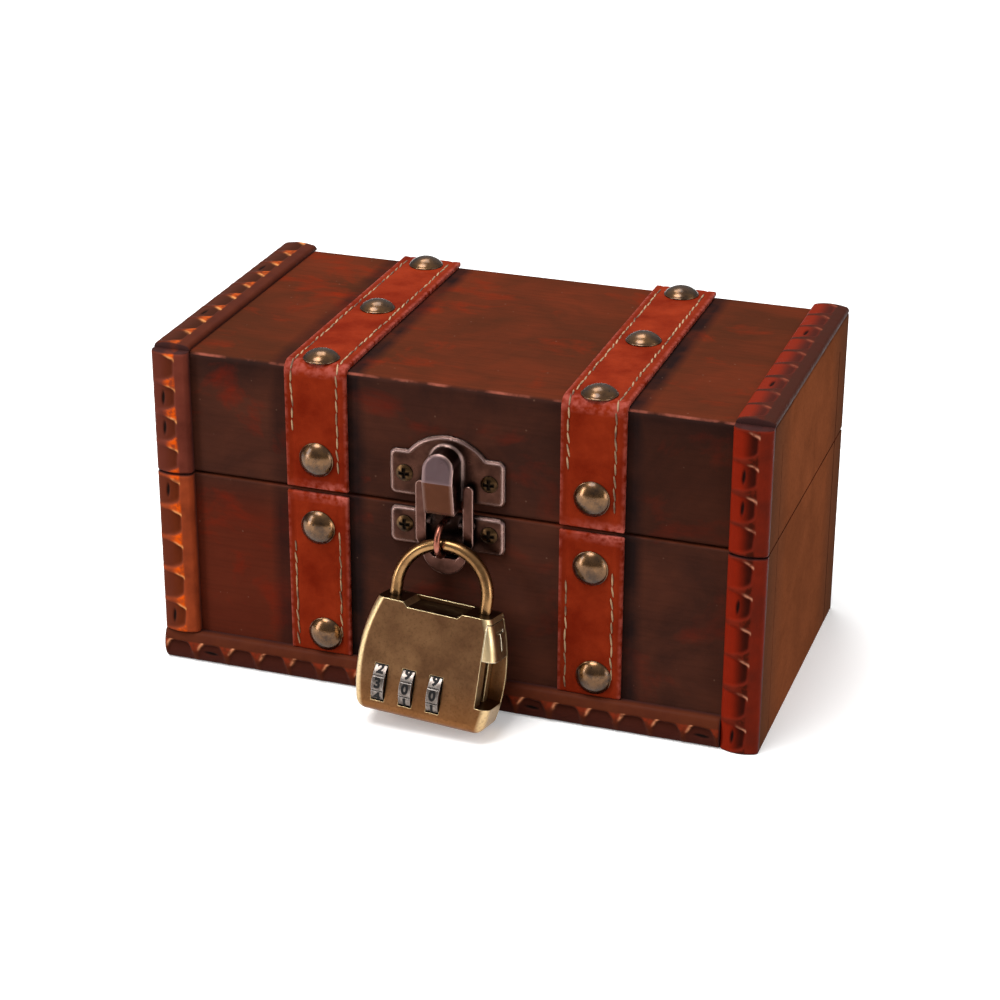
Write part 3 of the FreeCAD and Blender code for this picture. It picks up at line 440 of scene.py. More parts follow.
def lid_run(distance):
    # A point on the grain side of a lid strap, with the way it faces, from the foot up and over
    if distance < lid_rise:
        return Vector((0, front_face, lid_foot + distance)), Vector((0, -1, 0))
    if distance < lid_rise + bend_length:
        angle = (distance - lid_rise) / bend_radius
        out = Vector((0, -math.cos(angle), math.sin(angle)))
        return Vector((0, front_face + bend_radius, top_face - bend_radius)) + bend_radius * out, out
    behind_bend = distance - lid_rise - bend_length
    return Vector((0, front_face + bend_radius + behind_bend, top_face)), Vector((0, 0, 1))


def box_run(distance):
    # The same for a box strap, which only runs up the front
    return Vector((0, front_face, box_foot + distance)), Vector((0, -1, 0))


def dyed_leather():
    # Aniline-dyed cowhide: a strong red-brown, cloudy, with a fine pebble grain and almost no gloss, paler
    # scuffs on the cut ends, scuffs with a painted highlight on the bend, and dirty edges.
    material, tree, shader = surface("dyed grain leather")
    place = add(tree, "ShaderNodeTexCoord").outputs["Object"]
    spot = add(tree, "ShaderNodeSeparateXYZ", {0: place})
    # Clouds in the dye about 9 mm across
    cloud = add(tree, "ShaderNodeTexNoise", {
        "Vector": place, "Scale": 1 / (9 * mm), "Detail": 6.0, "Roughness": 0.6})
    cloudy = add(tree, "ShaderNodeMapRange", {0: cloud.outputs[0], 1: 0.34, 2: 0.68}).outputs[0]
    dye = add(tree, "ShaderNodeMix", {
        0: cloudy, 6: linear("#6f1d0b"), 7: linear("#8c2e15")}, data_type="RGBA").outputs[2]
    # Dirt gathers in the outer 2 mm, beside the stitches
    turned = add(tree, "ShaderNodeMath", {0: spot.outputs[0]}, operation="SIGN").outputs[0]
    middle = add(tree, "ShaderNodeMath", {0: turned, 1: strap_x}, operation="MULTIPLY").outputs[0]
    off = add(tree, "ShaderNodeMath", {0: spot.outputs[0], 1: middle}, operation="SUBTRACT").outputs[0]
    from_middle = add(tree, "ShaderNodeMath", {0: off}, operation="ABSOLUTE").outputs[0]
    dirt = add(tree, "ShaderNodeMapRange", {0: from_middle, 1: 6.2 * mm, 2: 8.2 * mm, 4: 0.6}).outputs[0]
    dirt_share = add(tree, "ShaderNodeMath", {
        0: dirt, 1: cloud.outputs[0]}, operation="MULTIPLY").outputs[0]
    dirty = add(tree, "ShaderNodeMix", {
        0: dirt_share, 6: dye, 7: linear("#43170f")}, data_type="RGBA").outputs[2]
    # Scuffs in spots about 1.5 mm across: on the bend, where they are also a painted highlight, at the
    # corners by the seam and along both edges
    to_front = add(tree, "ShaderNodeMath", {
        0: spot.outputs[1], 1: -42.0 * mm}, operation="SUBTRACT").outputs[0]
    to_top = add(tree, "ShaderNodeMath", {
        0: spot.outputs[2], 1: 87.0 * mm}, operation="SUBTRACT").outputs[0]
    bend = add(tree, "ShaderNodeMath", {0: to_front, 1: to_top}, operation="SUBTRACT").outputs[0]
    near_bend = add(tree, "ShaderNodeMath", {0: bend}, operation="ABSOLUTE").outputs[0]
    bend_scuff_and_highlight = add(tree, "ShaderNodeMapRange", {
        0: near_bend, 1: 0.3 * mm, 2: 1.8 * mm, 3: 0.4, 4: 0.0}).outputs[0]
    to_seam = add(tree, "ShaderNodeMath", {
        0: spot.outputs[2], 1: strap_seam}, operation="SUBTRACT").outputs[0]
    near_seam = add(tree, "ShaderNodeMath", {0: to_seam}, operation="ABSOLUTE").outputs[0]
    cut_end = add(tree, "ShaderNodeMapRange", {
        0: near_seam, 1: 1.0 * mm, 2: 3.4 * mm, 3: 0.9, 4: 0.0}).outputs[0]
    cut_side = add(tree, "ShaderNodeMapRange", {
        0: from_middle, 1: 7.2 * mm, 2: 8.1 * mm, 4: 0.4}).outputs[0]
    rightward = add(tree, "ShaderNodeMapRange", {0: off, 1: -5 * mm, 2: 5 * mm, 3: 0.2, 4: 1.0}).outputs[0]
    cut_corner = add(tree, "ShaderNodeMath", {0: cut_end, 1: rightward}, operation="MULTIPLY").outputs[0]
    scuffs_and_bend_highlight = add(tree, "ShaderNodeMath", {0: bend_scuff_and_highlight, 1: cut_corner}, operation="MAXIMUM").outputs[0]
    scuffs_and_bend_highlight = add(tree, "ShaderNodeMath", {0: scuffs_and_bend_highlight, 1: cut_side}, operation="MAXIMUM").outputs[0]
    scuffs = add(tree, "ShaderNodeTexNoise", {"Vector": place, "Scale": 1 / (1.5 * mm), "Detail": 4.0})
    scuff = add(tree, "ShaderNodeMapRange", {0: scuffs.outputs[0], 1: 0.36, 2: 0.62}).outputs[0]
    scuff_and_highlight_share = add(tree, "ShaderNodeMath", {0: scuffs_and_bend_highlight, 1: scuff}, operation="MULTIPLY").outputs[0]
    colour = add(tree, "ShaderNodeMix", {
        0: scuff_and_highlight_share, 6: dirty, 7: linear("#c4685c")}, data_type="RGBA").outputs[2]
    tree.links.new(colour, shader.inputs["Base Color"])
    gloss = add(tree, "ShaderNodeMapRange", {
        0: cloud.outputs[0], 1: 0.3, 2: 0.7, 3: 0.48, 4: 0.34}).outputs[0]
    tree.links.new(gloss, shader.inputs["Roughness"])
    # Pebble grain about 0.7 mm across
    grain = add(tree, "ShaderNodeTexVoronoi", {
        "Vector": place, "Scale": 1 / (0.7 * mm)}, feature="SMOOTH_F1")
    pebbles = add(tree, "ShaderNodeBump", {
        "Height": grain.outputs["Distance"], "Strength": 0.22, "Distance": 0.12 * mm}, invert=True).outputs[0]
    folds = add(tree, "ShaderNodeBump", {
        "Height": cloud.outputs[0], "Strength": 0.3, "Distance": 0.6 * mm, "Normal": pebbles}).outputs[0]
    tree.links.new(folds, shader.inputs["Normal"])
    shader.inputs["IOR"].default_value = 1.5
    shader.inputs["Specular IOR Level"].default_value = 0.01
    return material


def waxed_thread():
    # Twisted waxed linen, cream gone grey-brown with handling, matt
    material, tree, shader = surface("waxed linen thread")
    place = add(tree, "ShaderNodeTexCoord").outputs["Object"]
    # Soiled over lengths of about 4 mm
    soil = add(tree, "ShaderNodeTexNoise", {"Vector": place, "Scale": 1 / (4 * mm), "Detail": 4.0})
    soiled = add(tree, "ShaderNodeMapRange", {0: soil.outputs[0], 1: 0.36, 2: 0.6}).outputs[0]
    colour = add(tree, "ShaderNodeMix", {
        0: soiled, 6: linear("#5d4030"), 7: linear("#b39470")}, data_type="RGBA").outputs[2]
    tree.links.new(colour, shader.inputs["Base Color"])
    twist = add(tree, "ShaderNodeTexNoise", {"Vector": place, "Scale": 1 / (0.3 * mm)})
    relief = add(tree, "ShaderNodeBump", {
        "Height": twist.outputs[0], "Strength": 0.4, "Distance": 0.1 * mm}).outputs[0]
    tree.links.new(relief, shader.inputs["Normal"])
    shader.inputs["Roughness"].default_value = 0.8
    return material


leather = dyed_leather()
thread = waxed_thread()


def sew_strap(node, body, centre, run, length, rows):
    # A sheet of leather laid along a run, sunk a little under the sewing, and its two rows of stitches
    sheet = bmesh.new()
    bmesh.ops.create_grid(sheet, x_segments=34, y_segments=int(length / (0.6 * mm)), size=0.5)
    for vertex in sheet.verts:
        aside = vertex.co.x * strap_width
        point, out = run((vertex.co.y + 0.5) * length)
        sink = row_dip * sum(math.exp(-((aside - row) / row_width) ** 2) for row in (left_row, right_row))
        sink += 0.06 * mm * noise.noise(Vector((aside, point.y, point.z)) / (5 * mm))
        vertex.co = point - out * max(0.0, sink) + Vector((centre + aside, 0, 0))
    bmesh.ops.recalc_face_normals(sheet, faces=sheet.faces)
    sheet.faces.ensure_lookup_table()
    if sheet.faces[0].normal.y > 0:
        bmesh.ops.reverse_faces(sheet, faces=sheet.faces)
    bmesh.ops.solidify(sheet, geom=sheet.faces[:], thickness=strap_thickness)
    square = [e for e in sheet.edges if len(e.link_faces) == 2 and e.calc_face_angle() > math.radians(60)]
    bmesh.ops.bevel(
        sheet, geom=square, offset=0.35 * mm, affect="EDGES", segments=2, profile=0.5, material=-1)
    piece(node + "_leather", sheet, leather, body, "strap_leather", node)

    seam = bmesh.new()
    for row, start, stop in rows:
        for index in range(int((stop - start) / stitch_step)):
            point, out = run(start + (index + 0.5) * stitch_step)
            ahead = out.cross(Vector((1, 0, 0)))
            lean = Matrix.Rotation(math.radians(chance.uniform(-3, 12)), 3, out)
            size = Matrix.Diagonal((thread_width, chance.uniform(0.95, 1.2) * stitch_length / 2, thread_rise))
            axes = lean @ Matrix((Vector((1, 0, 0)), ahead, out)).transposed() @ size
            turn = axes.to_4x4()
            pulled = chance.uniform(0.0, 0.16) * mm
            aside = centre + row + chance.uniform(-0.14, 0.14) * mm
            turn.translation = point - out * pulled + Vector((aside, 0, 0))
            bmesh.ops.create_uvsphere(seam, u_segments=8, v_segments=5, radius=1.0, matrix=turn)
    piece(node + "_stitches", seam, thread, body, "strap_leather")


# The rows stop short of the studs by the seam, as the sewing was done before the strap was cut in two
box_rows = [(left_row, 1.2 * mm, 32 * mm), (right_row, 5 * mm, 37 * mm)]
lid_rows = [(left_row, 15 * mm, lid_run_length - 1 * mm), (right_row, 5 * mm, lid_run_length - 1 * mm)]
sew_strap("box_left_strap", "box", -strap_x, box_run, box_run_length, box_rows)
sew_strap("box_right_strap", "box", strap_x, box_run, box_run_length, box_rows)
sew_strap("lid_left_strap", "lid", -strap_x, lid_run, lid_run_length, lid_rows)
sew_strap("lid_right_strap", "lid", strap_x, lid_run, lid_run_length, lid_rows)

# Strap studs: pressed brass dome heads with a turned-in rim, on shanks driven through the leather into
# the boards. The brass is antiqued dark, and the domes are rubbed bright.

stud_radius = 4.6 * mm
stud_height = 2.4 * mm
stud_rim = 0.3 * mm
stud_shank, shank_radius, shank_point = 7.0 * mm, 0.9 * mm, 1.5 * mm


def toned_metal(name, dark, bright, worn, patch, corner, edge, rough):
    # Metal toned in a patina bath and rubbed back: clouded on open faces, dark in corners with patina and
    # painted shade, and bright along the edges with wear and a painted highlight, with a soft roughness from
    # tumbling. Gives the colour too, for what a piece adds to it.
    material, tree, shader = surface(name)
    place = add(tree, "ShaderNodeTexCoord").outputs["Object"]
    cloud = add(tree, "ShaderNodeTexNoise", {
        "Vector": place, "Scale": 1 / patch, "Detail": 7.0, "Roughness": 0.62})
    cloudy = add(tree, "ShaderNodeMapRange", {0: cloud.outputs[0], 1: 0.34, 2: 0.68}).outputs[0]
    ground = add(tree, "ShaderNodeMix", {
        0: cloudy, 6: linear(dark), 7: linear(bright)}, data_type="RGBA").outputs[2]
    # Wear and painted highlight: pale where the rounded normal leans away from the true one, along the edges
    eased = add(tree, "ShaderNodeBevel", {"Radius": edge}, samples=6).outputs[0]
    true = add(tree, "ShaderNodeNewGeometry").outputs["Normal"]
    agree = add(tree, "ShaderNodeVectorMath", {0: eased, 1: true}, operation="DOT_PRODUCT").outputs["Value"]
    rub = add(tree, "ShaderNodeMapRange", {0: agree, 1: 0.985, 2: 0.87, 3: 0.0, 4: 0.85}).outputs[0]
    rubbed = add(tree, "ShaderNodeMix", {0: rub, 6: ground, 7: linear(worn)}, data_type="RGBA").outputs[2]
    # Patina and painted shade: near black in corners that the ambient occlusion finds within the given reach
    open_share = add(tree, "ShaderNodeAmbientOcclusion", {"Distance": corner}, samples=8).outputs["AO"]
    patina_and_shade = add(tree, "ShaderNodeMapRange", {0: open_share, 1: 0.4, 2: 0.85, 3: 0.93, 4: 0.0}).outputs[0]
    colour = add(tree, "ShaderNodeMix", {
        0: patina_and_shade, 6: rubbed, 7: linear("#120c0a")}, data_type="RGBA").outputs[2]
    tree.links.new(colour, shader.inputs["Base Color"])
    gloss = add(tree, "ShaderNodeMapRange", {
        0: cloud.outputs[0], 1: 0.3, 2: 0.7, 3: rough + 0.08, 4: rough - 0.08}).outputs[0]
    tree.links.new(gloss, shader.inputs["Roughness"])
    relief = add(tree, "ShaderNodeBump", {
        "Height": cloud.outputs[0], "Strength": 0.12, "Distance": 0.3 * mm, "Normal": eased}).outputs[0]
    tree.links.new(relief, shader.inputs["Normal"])
    shader.inputs["Metallic"].default_value = 1.0
    return material, tree, shader, colour


stud_brass, tree, shader, colour = toned_metal(
    "antiqued pressed brass", dark="#3b2717", bright="#7c5733", worn="#a4845a",
    patch=3 * mm, corner=5 * mm, edge=0.1 * mm, rough=0.27)
# Painted shade: the side that faces down is darkened nearly black
downward = add(tree, "ShaderNodeSeparateXYZ", {
    0: add(tree, "ShaderNodeTexCoord").outputs["Normal"]}).outputs[2]
painted_shade_below = add(tree, "ShaderNodeMapRange", {0: downward, 1: 0.15, 2: -0.6, 4: 0.85}).outputs[0]
colour = add(tree, "ShaderNodeMix", {
    0: painted_shade_below, 6: colour, 7: linear("#2a1e14")}, data_type="RGBA").outputs[2]
# Pits about 0.4 mm across, a few on each stud
pits = add(tree, "ShaderNodeTexVoronoi", {
    "Vector": add(tree, "ShaderNodeTexCoord").outputs["Object"], "Scale": 1 / (2.4 * mm)})
pit = add(tree, "ShaderNodeMapRange", {
    0: pits.outputs["Distance"], 1: 0.07, 2: 0.13, 3: 0.8, 4: 0.0}).outputs[0]
pitted = add(tree, "ShaderNodeMix", {0: pit, 6: colour, 7: linear("#231a10")}, data_type="RGBA").outputs[2]
tree.links.new(pitted, shader.inputs["Base Color"])
# A clear lacquer over the brass
shader.inputs["Coat Weight"].default_value = 0.5
shader.inputs["Coat Roughness"].default_value = 0.16


def stud_head():
    # A dome, its rim and its pointed shank in outline, spun round
    head = bmesh.new()
    outline = [(0.0, stud_height)]
    for index in range(1, 16):
        share = math.sin(index / 15 * math.radians(84))
        dome = (1 - share ** 2) ** 0.75
        outline.append((0.97 * stud_radius * share, stud_rim + (stud_height - stud_rim) * dome))
    outline += [(0.985 * stud_radius, 0.34 * mm), (stud_radius, 0.26 * mm), (stud_radius, 0.08 * mm),
                (0.98 * stud_radius, 0.0), (shank_radius, 0.0),
                (shank_radius - 0.1 * mm, shank_point - stud_shank), (0.0, -stud_shank)]
    corners = [head.verts.new((r, 0, z)) for r, z in outline]
    line = [head.edges.new(pair) for pair in zip(corners, corners[1:])]
    bmesh.ops.spin(
        head, geom=corners + line, cent=(0, 0, 0), axis=(0, 0, 1), angle=2 * math.pi, steps=48,
        use_merge=True)
    bmesh.ops.remove_doubles(head, verts=head.verts, dist=0.001 * mm)
    return head


def set_studs(node, body, places):
    group = bmesh.new()
    for point, out in places:
        head = stud_head()
        turn = Vector((0, 0, 1)).rotation_difference(Vector(out)).to_matrix().to_4x4()
        turn.translation = Vector(point)
        bmesh.ops.transform(head, matrix=turn, verts=head.verts)
        stored = bpy.data.meshes.new("stud")
        head.to_mesh(stored)
        head.free()
        group.from_mesh(stored)
        bpy.data.meshes.remove(stored)
    piece(node + "_heads", group, stud_brass, body, "stud_brass", node)


forward, upward = (0, -1, 0), (0, 0, 1)
set_studs("box_studs", "box", [
    ((x + shift * mm, front_face, z * mm), forward)
    for x in (-strap_x, strap_x) for shift, z in ((0, 43.8), (1.3, 13.8))])
set_studs("lid_studs", "lid", [
    ((x, front_face, 62.4 * mm), forward) for x in (-strap_x, strap_x)] + [
    ((x, y * mm, top_face), upward) for x in (-strap_x, strap_x) for y in (-38.15, 0, 36.35)])

# Hasp: a pressed plate with a hollow nose on the lid, a lower plate with a wire staple on the box, and a
# forked lever on two pins. All of it is copper-plated and antiqued, with the edges rubbed pale pink and a
# painted highlight along them.

hasp_middle = -1.4 * mm
screws_middle, screws_across, screws_apart = 55.4 * mm, 22.2 * mm, 13.8 * mm

hasp_copper, tree, shader, colour = toned_metal(
    "antiqued copper plate", dark="#2b1913", bright="#452b22", worn="#e8c0b4",
    patch=4 * mm, corner=5 * mm, edge=1.6 * mm, rough=0.33)
# Painted reflections on the nose: grey on its upper slope, and a browner tone on its lower slope
tilt = add(tree, "ShaderNodeSeparateXYZ", {0: add(tree, "ShaderNodeTexCoord").outputs["Normal"]}).outputs[2]
lower = add(tree, "ShaderNodeMapRange", {0: tilt, 1: -0.05, 2: -0.16, 4: 0.75}).outputs[0]
brown_reflection = add(tree, "ShaderNodeMix", {
    0: lower, 6: colour, 7: linear("#4c2b1c")}, data_type="RGBA").outputs[2]
raised = add(tree, "ShaderNodeMapRange", {0: tilt, 1: 0.08, 2: 0.18, 4: 0.75}).outputs[0]
sloped = add(tree, "ShaderNodeMapRange", {0: tilt, 1: 0.5, 2: 0.3}).outputs[0]
grey_reflection_share = add(tree, "ShaderNodeMath", {0: raised, 1: sloped}, operation="MULTIPLY").outputs[0]
grey_reflection = add(tree, "ShaderNodeMix", {
    0: grey_reflection_share, 6: brown_reflection, 7: linear("#6a5658")}, data_type="RGBA").outputs[2]
# Painted shade on the lower plate behind the lever, which covers it for 6 mm on each side
spot = add(tree, "ShaderNodeSeparateXYZ", {0: add(tree, "ShaderNodeTexCoord").outputs["Object"]})
off = add(tree, "ShaderNodeMath", {0: spot.outputs[0], 1: hasp_middle}, operation="SUBTRACT").outputs[0]
from_middle = add(tree, "ShaderNodeMath", {0: off}, operation="ABSOLUTE").outputs[0]
covered = add(tree, "ShaderNodeMapRange", {
    0: from_middle, 1: 5.8 * mm, 2: 6.8 * mm, 3: 0.85, 4: 0.0}).outputs[0]
below = add(tree, "ShaderNodeMapRange", {
    0: spot.outputs[2], 1: 53.4 * mm, 2: 54.4 * mm, 3: 1.0, 4: 0.0}).outputs[0]
behind_lever = add(tree, "ShaderNodeMath", {0: covered, 1: below}, operation="MULTIPLY").outputs[0]
shaded = add(tree, "ShaderNodeMix", {
    0: behind_lever, 6: grey_reflection, 7: linear("#160d0a")}, data_type="RGBA").outputs[2]
tree.links.new(shaded, shader.inputs["Base Color"])
finish(hasp_copper, "hasp_upper_plate", "hasp_lower_plate", "hasp_lever_pins")
lever_copper = toned_metal(
    "antiqued copper lever", dark="#3a241d", bright="#553830", worn="#b08a7e",
    patch=4 * mm, corner=2 * mm, edge=0.6 * mm, rough=0.33)[0]
finish(lever_copper, "hasp_lever")
staple_wire = toned_metal(
    "bright copper wire", dark="#7a4636", bright="#a8695a", worn="#dcaea0",
    patch=3 * mm, corner=1.5 * mm, edge=0.1 * mm, rough=0.3)[0]
finish(staple_wire, "hasp_staple")

bronzed_screw, tree, shader, colour = toned_metal(
    "bronzed steel screw", dark="#2a1c11", bright="#5a422a", worn="#8a7a5c",
    patch=2 * mm, corner=1.1 * mm, edge=0.02 * mm, rough=0.34)
# Black dirt and painted shade fill each cross, and spread 0.3 mm beyond it. The cross of every screw is found
# from the middle of the four.
spot = add(tree, "ShaderNodeSeparateXYZ", {0: add(tree, "ShaderNodeTexCoord").outputs["Object"]})
arms = []
for socket, middle, spacing in ((0, hasp_middle, screws_across), (2, screws_middle, screws_apart)):
    off = add(tree, "ShaderNodeMath", {0: spot.outputs[socket], 1: middle}, operation="SUBTRACT").outputs[0]
    aside = add(tree, "ShaderNodeMath", {0: off}, operation="ABSOLUTE").outputs[0]
    beyond = add(tree, "ShaderNodeMath", {0: aside, 1: spacing / 2}, operation="SUBTRACT").outputs[0]
    arms.append(add(tree, "ShaderNodeMath", {0: beyond}, operation="ABSOLUTE").outputs[0])
nearer = add(tree, "ShaderNodeMath", {0: arms[0], 1: arms[1]}, operation="MINIMUM").outputs[0]
farther = add(tree, "ShaderNodeMath", {0: arms[0], 1: arms[1]}, operation="MAXIMUM").outputs[0]
in_arm = add(tree, "ShaderNodeMapRange", {
    0: nearer, 1: 0.42 * mm, 2: 0.62 * mm, 3: 0.95, 4: 0.0}).outputs[0]
in_reach = add(tree, "ShaderNodeMapRange", {
    0: farther, 1: 1.35 * mm, 2: 1.6 * mm, 3: 1.0, 4: 0.0}).outputs[0]
dirt_and_shade_in_cross = add(tree, "ShaderNodeMath", {0: in_arm, 1: in_reach}, operation="MULTIPLY").outputs[0]
crossed = add(tree, "ShaderNodeMix", {
    0: dirt_and_shade_in_cross, 6: colour, 7: linear("#0c0806")}, data_type="RGBA").outputs[2]
tree.links.new(crossed, shader.inputs["Base Color"])
finish(bronzed_screw, "hasp_lid_screws", "hasp_box_screws")

# Hinges: two stamped brass butt hinges on the back, with rolled knuckles on wire pins. Small screws hold
# one leaf to the box and one to the lid.

hinge_brass = toned_metal(
    "stamped hinge brass", dark="#6a5228", bright="#a88c50", worn="#d8c088",
    patch=3 * mm, corner=1.2 * mm, edge=0.3 * mm, rough=0.36)[0]
finish(hinge_brass,
       "left_hinge_box_leaf", "left_hinge_lid_leaf", "left_hinge_pin", "right_hinge_box_leaf",
       "right_hinge_lid_leaf", "right_hinge_pin", "hinge_box_screws", "hinge_lid_screws")

# Padlock: a die-cast case with a fitted back cover, brass-plated and antiqued brown. The edges and the
# rounded sides are rubbed bright and carry a painted highlight. A round brass shackle passes through the
# staple, and a slider on the right side lets it go.

padlock_brass, tree, shader, colour = toned_metal(
    "antiqued brass casting", dark="#5b3e29", bright="#7a583b", worn="#ecd6a4",
    patch=7 * mm, corner=1.0 * mm, edge=0.35 * mm, rough=0.36)
facing = add(tree, "ShaderNodeSeparateXYZ", {0: add(tree, "ShaderNodeTexCoord").outputs["Normal"]})
# The rounded sides are polished and carry a painted highlight, most where they turn away from the face
aside = add(tree, "ShaderNodeMath", {0: facing.outputs[0]}, operation="ABSOLUTE").outputs[0]
turning = add(tree, "ShaderNodeMapRange", {0: aside, 1: 0.12, 2: 0.5, 4: 0.85}).outputs[0]
flank = add(tree, "ShaderNodeMapRange", {0: aside, 1: 0.8, 2: 1.0, 3: 1.0, 4: 0.8}).outputs[0]
polish_and_highlight = add(tree, "ShaderNodeMath", {0: turning, 1: flank}, operation="MULTIPLY").outputs[0]
polished_and_highlit = add(tree, "ShaderNodeMix", {
    0: polish_and_highlight, 6: colour, 7: linear("#e6cc9a")}, data_type="RGBA").outputs[2]
# Painted shade: the top, under the shackle, is darkened almost black
topmost = add(tree, "ShaderNodeMapRange", {0: facing.outputs[2], 1: 0.6, 2: 0.85, 4: 0.85}).outputs[0]
shaded_top = add(tree, "ShaderNodeMix", {
    0: topmost, 6: polished_and_highlit, 7: linear("#1f150d")}, data_type="RGBA").outputs[2]
# A painted warm reflection browns the foot, and fine pores about 0.6 mm apart show all over
spot = add(tree, "ShaderNodeTexCoord").outputs["Object"]
height = add(tree, "ShaderNodeSeparateXYZ", {0: spot}).outputs[2]
warm_reflection_share = add(tree, "ShaderNodeMapRange", {0: height, 1: 16 * mm, 2: 4 * mm, 4: 0.45}).outputs[0]
with_warm_reflection = add(tree, "ShaderNodeMix", {
    0: warm_reflection_share, 6: shaded_top, 7: linear("#8a5426")}, data_type="RGBA").outputs[2]
pores = add(tree, "ShaderNodeTexNoise", {
    "Vector": spot, "Scale": 1 / (0.6 * mm), "Detail": 4.0, "Roughness": 0.7})
pore = add(tree, "ShaderNodeMapRange", {0: pores.outputs[0], 1: 0.5, 2: 0.7, 4: 0.45}).outputs[0]
porous = add(tree, "ShaderNodeMix", {0: pore, 6: with_warm_reflection, 7: linear("#3a2716")}, data_type="RGBA").outputs[2]
tree.links.new(porous, shader.inputs["Base Color"])
finish(padlock_brass, "padlock_case", "padlock_back_cover")
# The slider's brass is paler than the case's, as a painted highlight on its rubbed faces
slider_brass = toned_metal(
    "rubbed brass slider with painted highlight", dark="#a88a60", bright="#d8c096", worn="#f8ecd0",
    patch=7 * mm, corner=0.6 * mm, edge=0.35 * mm, rough=0.34)[0]
finish(slider_brass, "padlock_slider")
shackle_brass = toned_metal(
    "drawn brass rod", dark="#745334", bright="#a07a50", worn="#ecd4a4",
    patch=6 * mm, corner=1.6 * mm, edge=0.1 * mm, rough=0.28)[0]
finish(shackle_brass, "padlock_shackle")
pin_steel = toned_metal(
    "plain steel pin", dark="#3a3330", bright="#5d5650", worn="#8a847c",
    patch=2 * mm, corner=1.4 * mm, edge=0.1 * mm, rough=0.36)[0]
finish(pin_steel,
       "padlock_dial_axle", "padlock_shackle_pin")

# Dial wheels: three turned steel wheels on one axle, nickelled, with ten grooves round each. Between every
# two grooves stands a numeral in black paint.

dial_steel = toned_metal(
    "nickelled steel wheel", dark="#544b46", bright="#8c827b", worn="#c4bcb6",
    patch=1.5 * mm, corner=1.2 * mm, edge=0.2 * mm, rough=0.36)[0]
finish(dial_steel,
       "padlock_left_dial", "padlock_middle_dial", "padlock_right_dial")

ink, tree, shader = surface("black numeral paint")
place = add(tree, "ShaderNodeTexCoord").outputs["Object"]
# The paint is worn in spots about 0.6 mm across
chips = add(tree, "ShaderNodeTexNoise", {"Vector": place, "Scale": 1 / (0.6 * mm), "Detail": 3.0})
paint = add(tree, "ShaderNodeMix", {
    0: chips.outputs[0], 6: linear("#060505"), 7: linear("#171515")}, data_type="RGBA").outputs[2]
tree.links.new(paint, shader.inputs["Base Color"])
shader.inputs["Roughness"].default_value = 0.6
shader.inputs["Specular IOR Level"].default_value = 0.2

dial_radius = 6.2 * mm
numeral_size, numeral_bold, numeral_depth = 3.6 * mm, 0.15 * mm, 0.05 * mm
figures = 10
# The padlock hangs out from the chest at its foot, and leans to one side
lock_tilt, lock_roll = math.radians(-14.0), math.radians(3.7)
hang = Matrix.Rotation(lock_tilt, 4, "X") @ Matrix.Rotation(lock_roll, 4, "Y")

for dial, first in (("left", 1), ("middle", 8), ("right", 8)):
    low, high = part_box("padlock_" + dial + "_dial")
    ring = bmesh.new()
    for index in range(figures):
        words = bpy.data.curves.new("numeral", "FONT")
        words.body = str((first + index) % figures)
        words.size = numeral_size
        words.align_x = "CENTER"
        words.align_y = "CENTER"
        words.offset = numeral_bold
        words.extrude = numeral_depth
        words.resolution_u = 3
        holder = bpy.data.objects.new("numeral", words)
        bpy.context.scene.collection.objects.link(holder)
        bpy.context.view_layer.update()
        flat = bpy.data.meshes.new_from_object(holder.evaluated_get(bpy.context.evaluated_depsgraph_get()))
        bpy.data.objects.remove(holder)
        angle = 2 * math.pi / figures * (index + 0.5)
        out = Vector((0, -math.sin(angle), math.cos(angle)))
        rise = Vector((0, math.cos(angle), math.sin(angle)))
        turn = Matrix((Vector((1, 0, 0)), rise, out)).transposed().to_4x4()
        turn.translation = out * (dial_radius - 0.02 * mm)
        flat.transform(Matrix.Translation((low + high) / 2) @ hang @ turn)
        ring.from_mesh(flat)
        bpy.data.meshes.remove(flat)
        bpy.data.curves.remove(words)
    bmesh.ops.remove_doubles(ring, verts=ring.verts, dist=0.001 * mm)
    piece("padlock_" + dial + "_numerals", ring, ink, "padlock_" + dial + "_dial", "dial_steel")

# Studio: a wide sheet of matt white paper under soft lamps, seen by the photograph's camera. It is the
# stage that the object stands on.

sheet = bmesh.new()
bmesh.ops.create_grid(sheet, x_segments=2, y_segments=2, size=30.0)
paper_mesh = bpy.data.meshes.new("paper_sweep")
sheet.to_mesh(paper_mesh)
sheet.free()
floor = bpy.data.objects.new("paper_sweep", paper_mesh)
bpy.context.scene.collection.objects.link(floor)
paper, tree, shader = surface("matt white paper")
place = add(tree, "ShaderNodeTexCoord").outputs["Object"]
# Clouds in the pulp about 40 mm across
pulp = add(tree, "ShaderNodeTexNoise", {"Vector": place, "Scale": 1 / (40 * mm)})
white = add(tree, "ShaderNodeMix", {
    0: pulp.outputs[0], 6: linear("#fbfbfa"), 7: linear("#ffffff")}, data_type="RGBA").outputs[2]
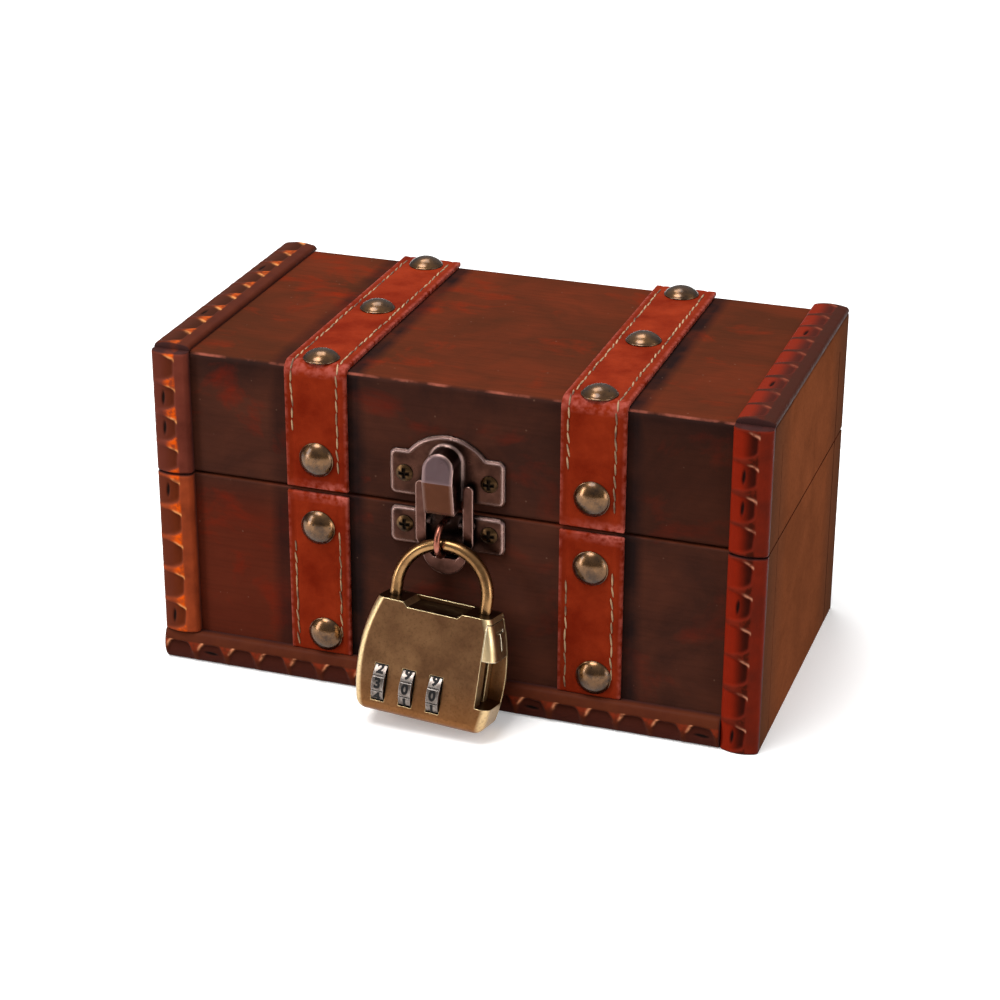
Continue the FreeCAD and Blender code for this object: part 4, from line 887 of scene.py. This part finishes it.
# The camera and the metal see the sheet white, and it throws only a little light back on the object
ray = add(tree, "ShaderNodeLightPath")
seen = add(tree, "ShaderNodeMath", {
    0: ray.outputs["Is Camera Ray"], 1: ray.outputs["Is Glossy Ray"]}, operation="MAXIMUM").outputs[0]
seen = add(tree, "ShaderNodeMath", {
    0: seen, 1: ray.outputs["Is Transmission Ray"]}, operation="MAXIMUM").outputs[0]
shown = add(tree, "ShaderNodeMix", {0: seen, 6: linear("#a49484"), 7: white}, data_type="RGBA").outputs[2]
tree.links.new(shown, shader.inputs["Base Color"])
glow = add(tree, "ShaderNodeMath", {0: seen, 1: 0.22}, operation="MULTIPLY").outputs[0]
shader.inputs["Emission Color"].default_value = (1.0, 1.0, 1.0, 1.0)
tree.links.new(glow, shader.inputs["Emission Strength"])
shader.inputs["Roughness"].default_value = 0.9
shader.inputs["Specular IOR Level"].default_value = 0.1
paper_mesh.materials.append(paper)


def lamp(name, kind, point, power, **sizes):
    light = bpy.data.lights.new(name, kind)
    light.energy = power
    for size, value in sizes.items():
        setattr(light, size, value)
    holder = bpy.data.objects.new(name, light)
    holder.location = point
    holder.rotation_euler = (Vector((0.0, 0.0, 0.05)) - Vector(point)).to_track_quat("-Z", "Y").to_euler()
    bpy.context.scene.collection.objects.link(holder)


# A wide soft key from above, a tall window on the left, a weak fill and a bright card on the right,
# and a lamp high behind that picks out the studs
lamp("key", "SUN", (-0.35, -0.42, 1.50), power=2.4, angle=math.radians(32))
lamp("window", "AREA", (-0.42, -0.36, 0.20), power=1.3, shape="RECTANGLE", size=0.12, size_y=0.36)
lamp("fill", "AREA", (1.00, -0.05, 0.40), power=2.4, size=0.6)
lamp("card", "AREA", (0.90, -0.40, 0.12), power=1.9, shape="RECTANGLE", size=0.3, size_y=0.4)
lamp("back", "AREA", (-0.25, 0.45, 1.05), power=3.2, size=0.45)

world = bpy.data.worlds.new("studio")
world.use_nodes = True
tree = world.node_tree
height = add(tree, "ShaderNodeSeparateXYZ", {
    0: add(tree, "ShaderNodeTexCoord").outputs["Generated"]}).outputs[2]
soft = add(tree, "ShaderNodeMapRange", {0: height, 1: 0.0, 2: 0.8, 3: 0.12, 4: 0.58}).outputs[0]
tree.links.new(soft, tree.nodes["Background"].inputs["Strength"])
tree.nodes["Background"].inputs["Color"].default_value = (1.0, 1.0, 1.0, 1.0)
bpy.context.scene.world = world
bpy.context.scene.view_settings.view_transform = "Standard"

lens = bpy.data.cameras.new("camera")
lens.sensor_width = 36.0
lens.lens = 92.46
lens.clip_start = 0.01
camera = bpy.data.objects.new("camera", lens)
right = Vector((0.94647, 0.32276, 0.00365))
over = Vector((-0.13615, 0.38893, 0.91115))
behind = Vector((0.29266, -0.86288, 0.41205))
camera.matrix_world = Matrix.Translation((0.19683, -0.58648, 0.31813)) @ (
    Matrix((right, over, behind)).transposed().to_4x4())
bpy.context.scene.collection.objects.link(camera)
bpy.context.scene.camera = camera
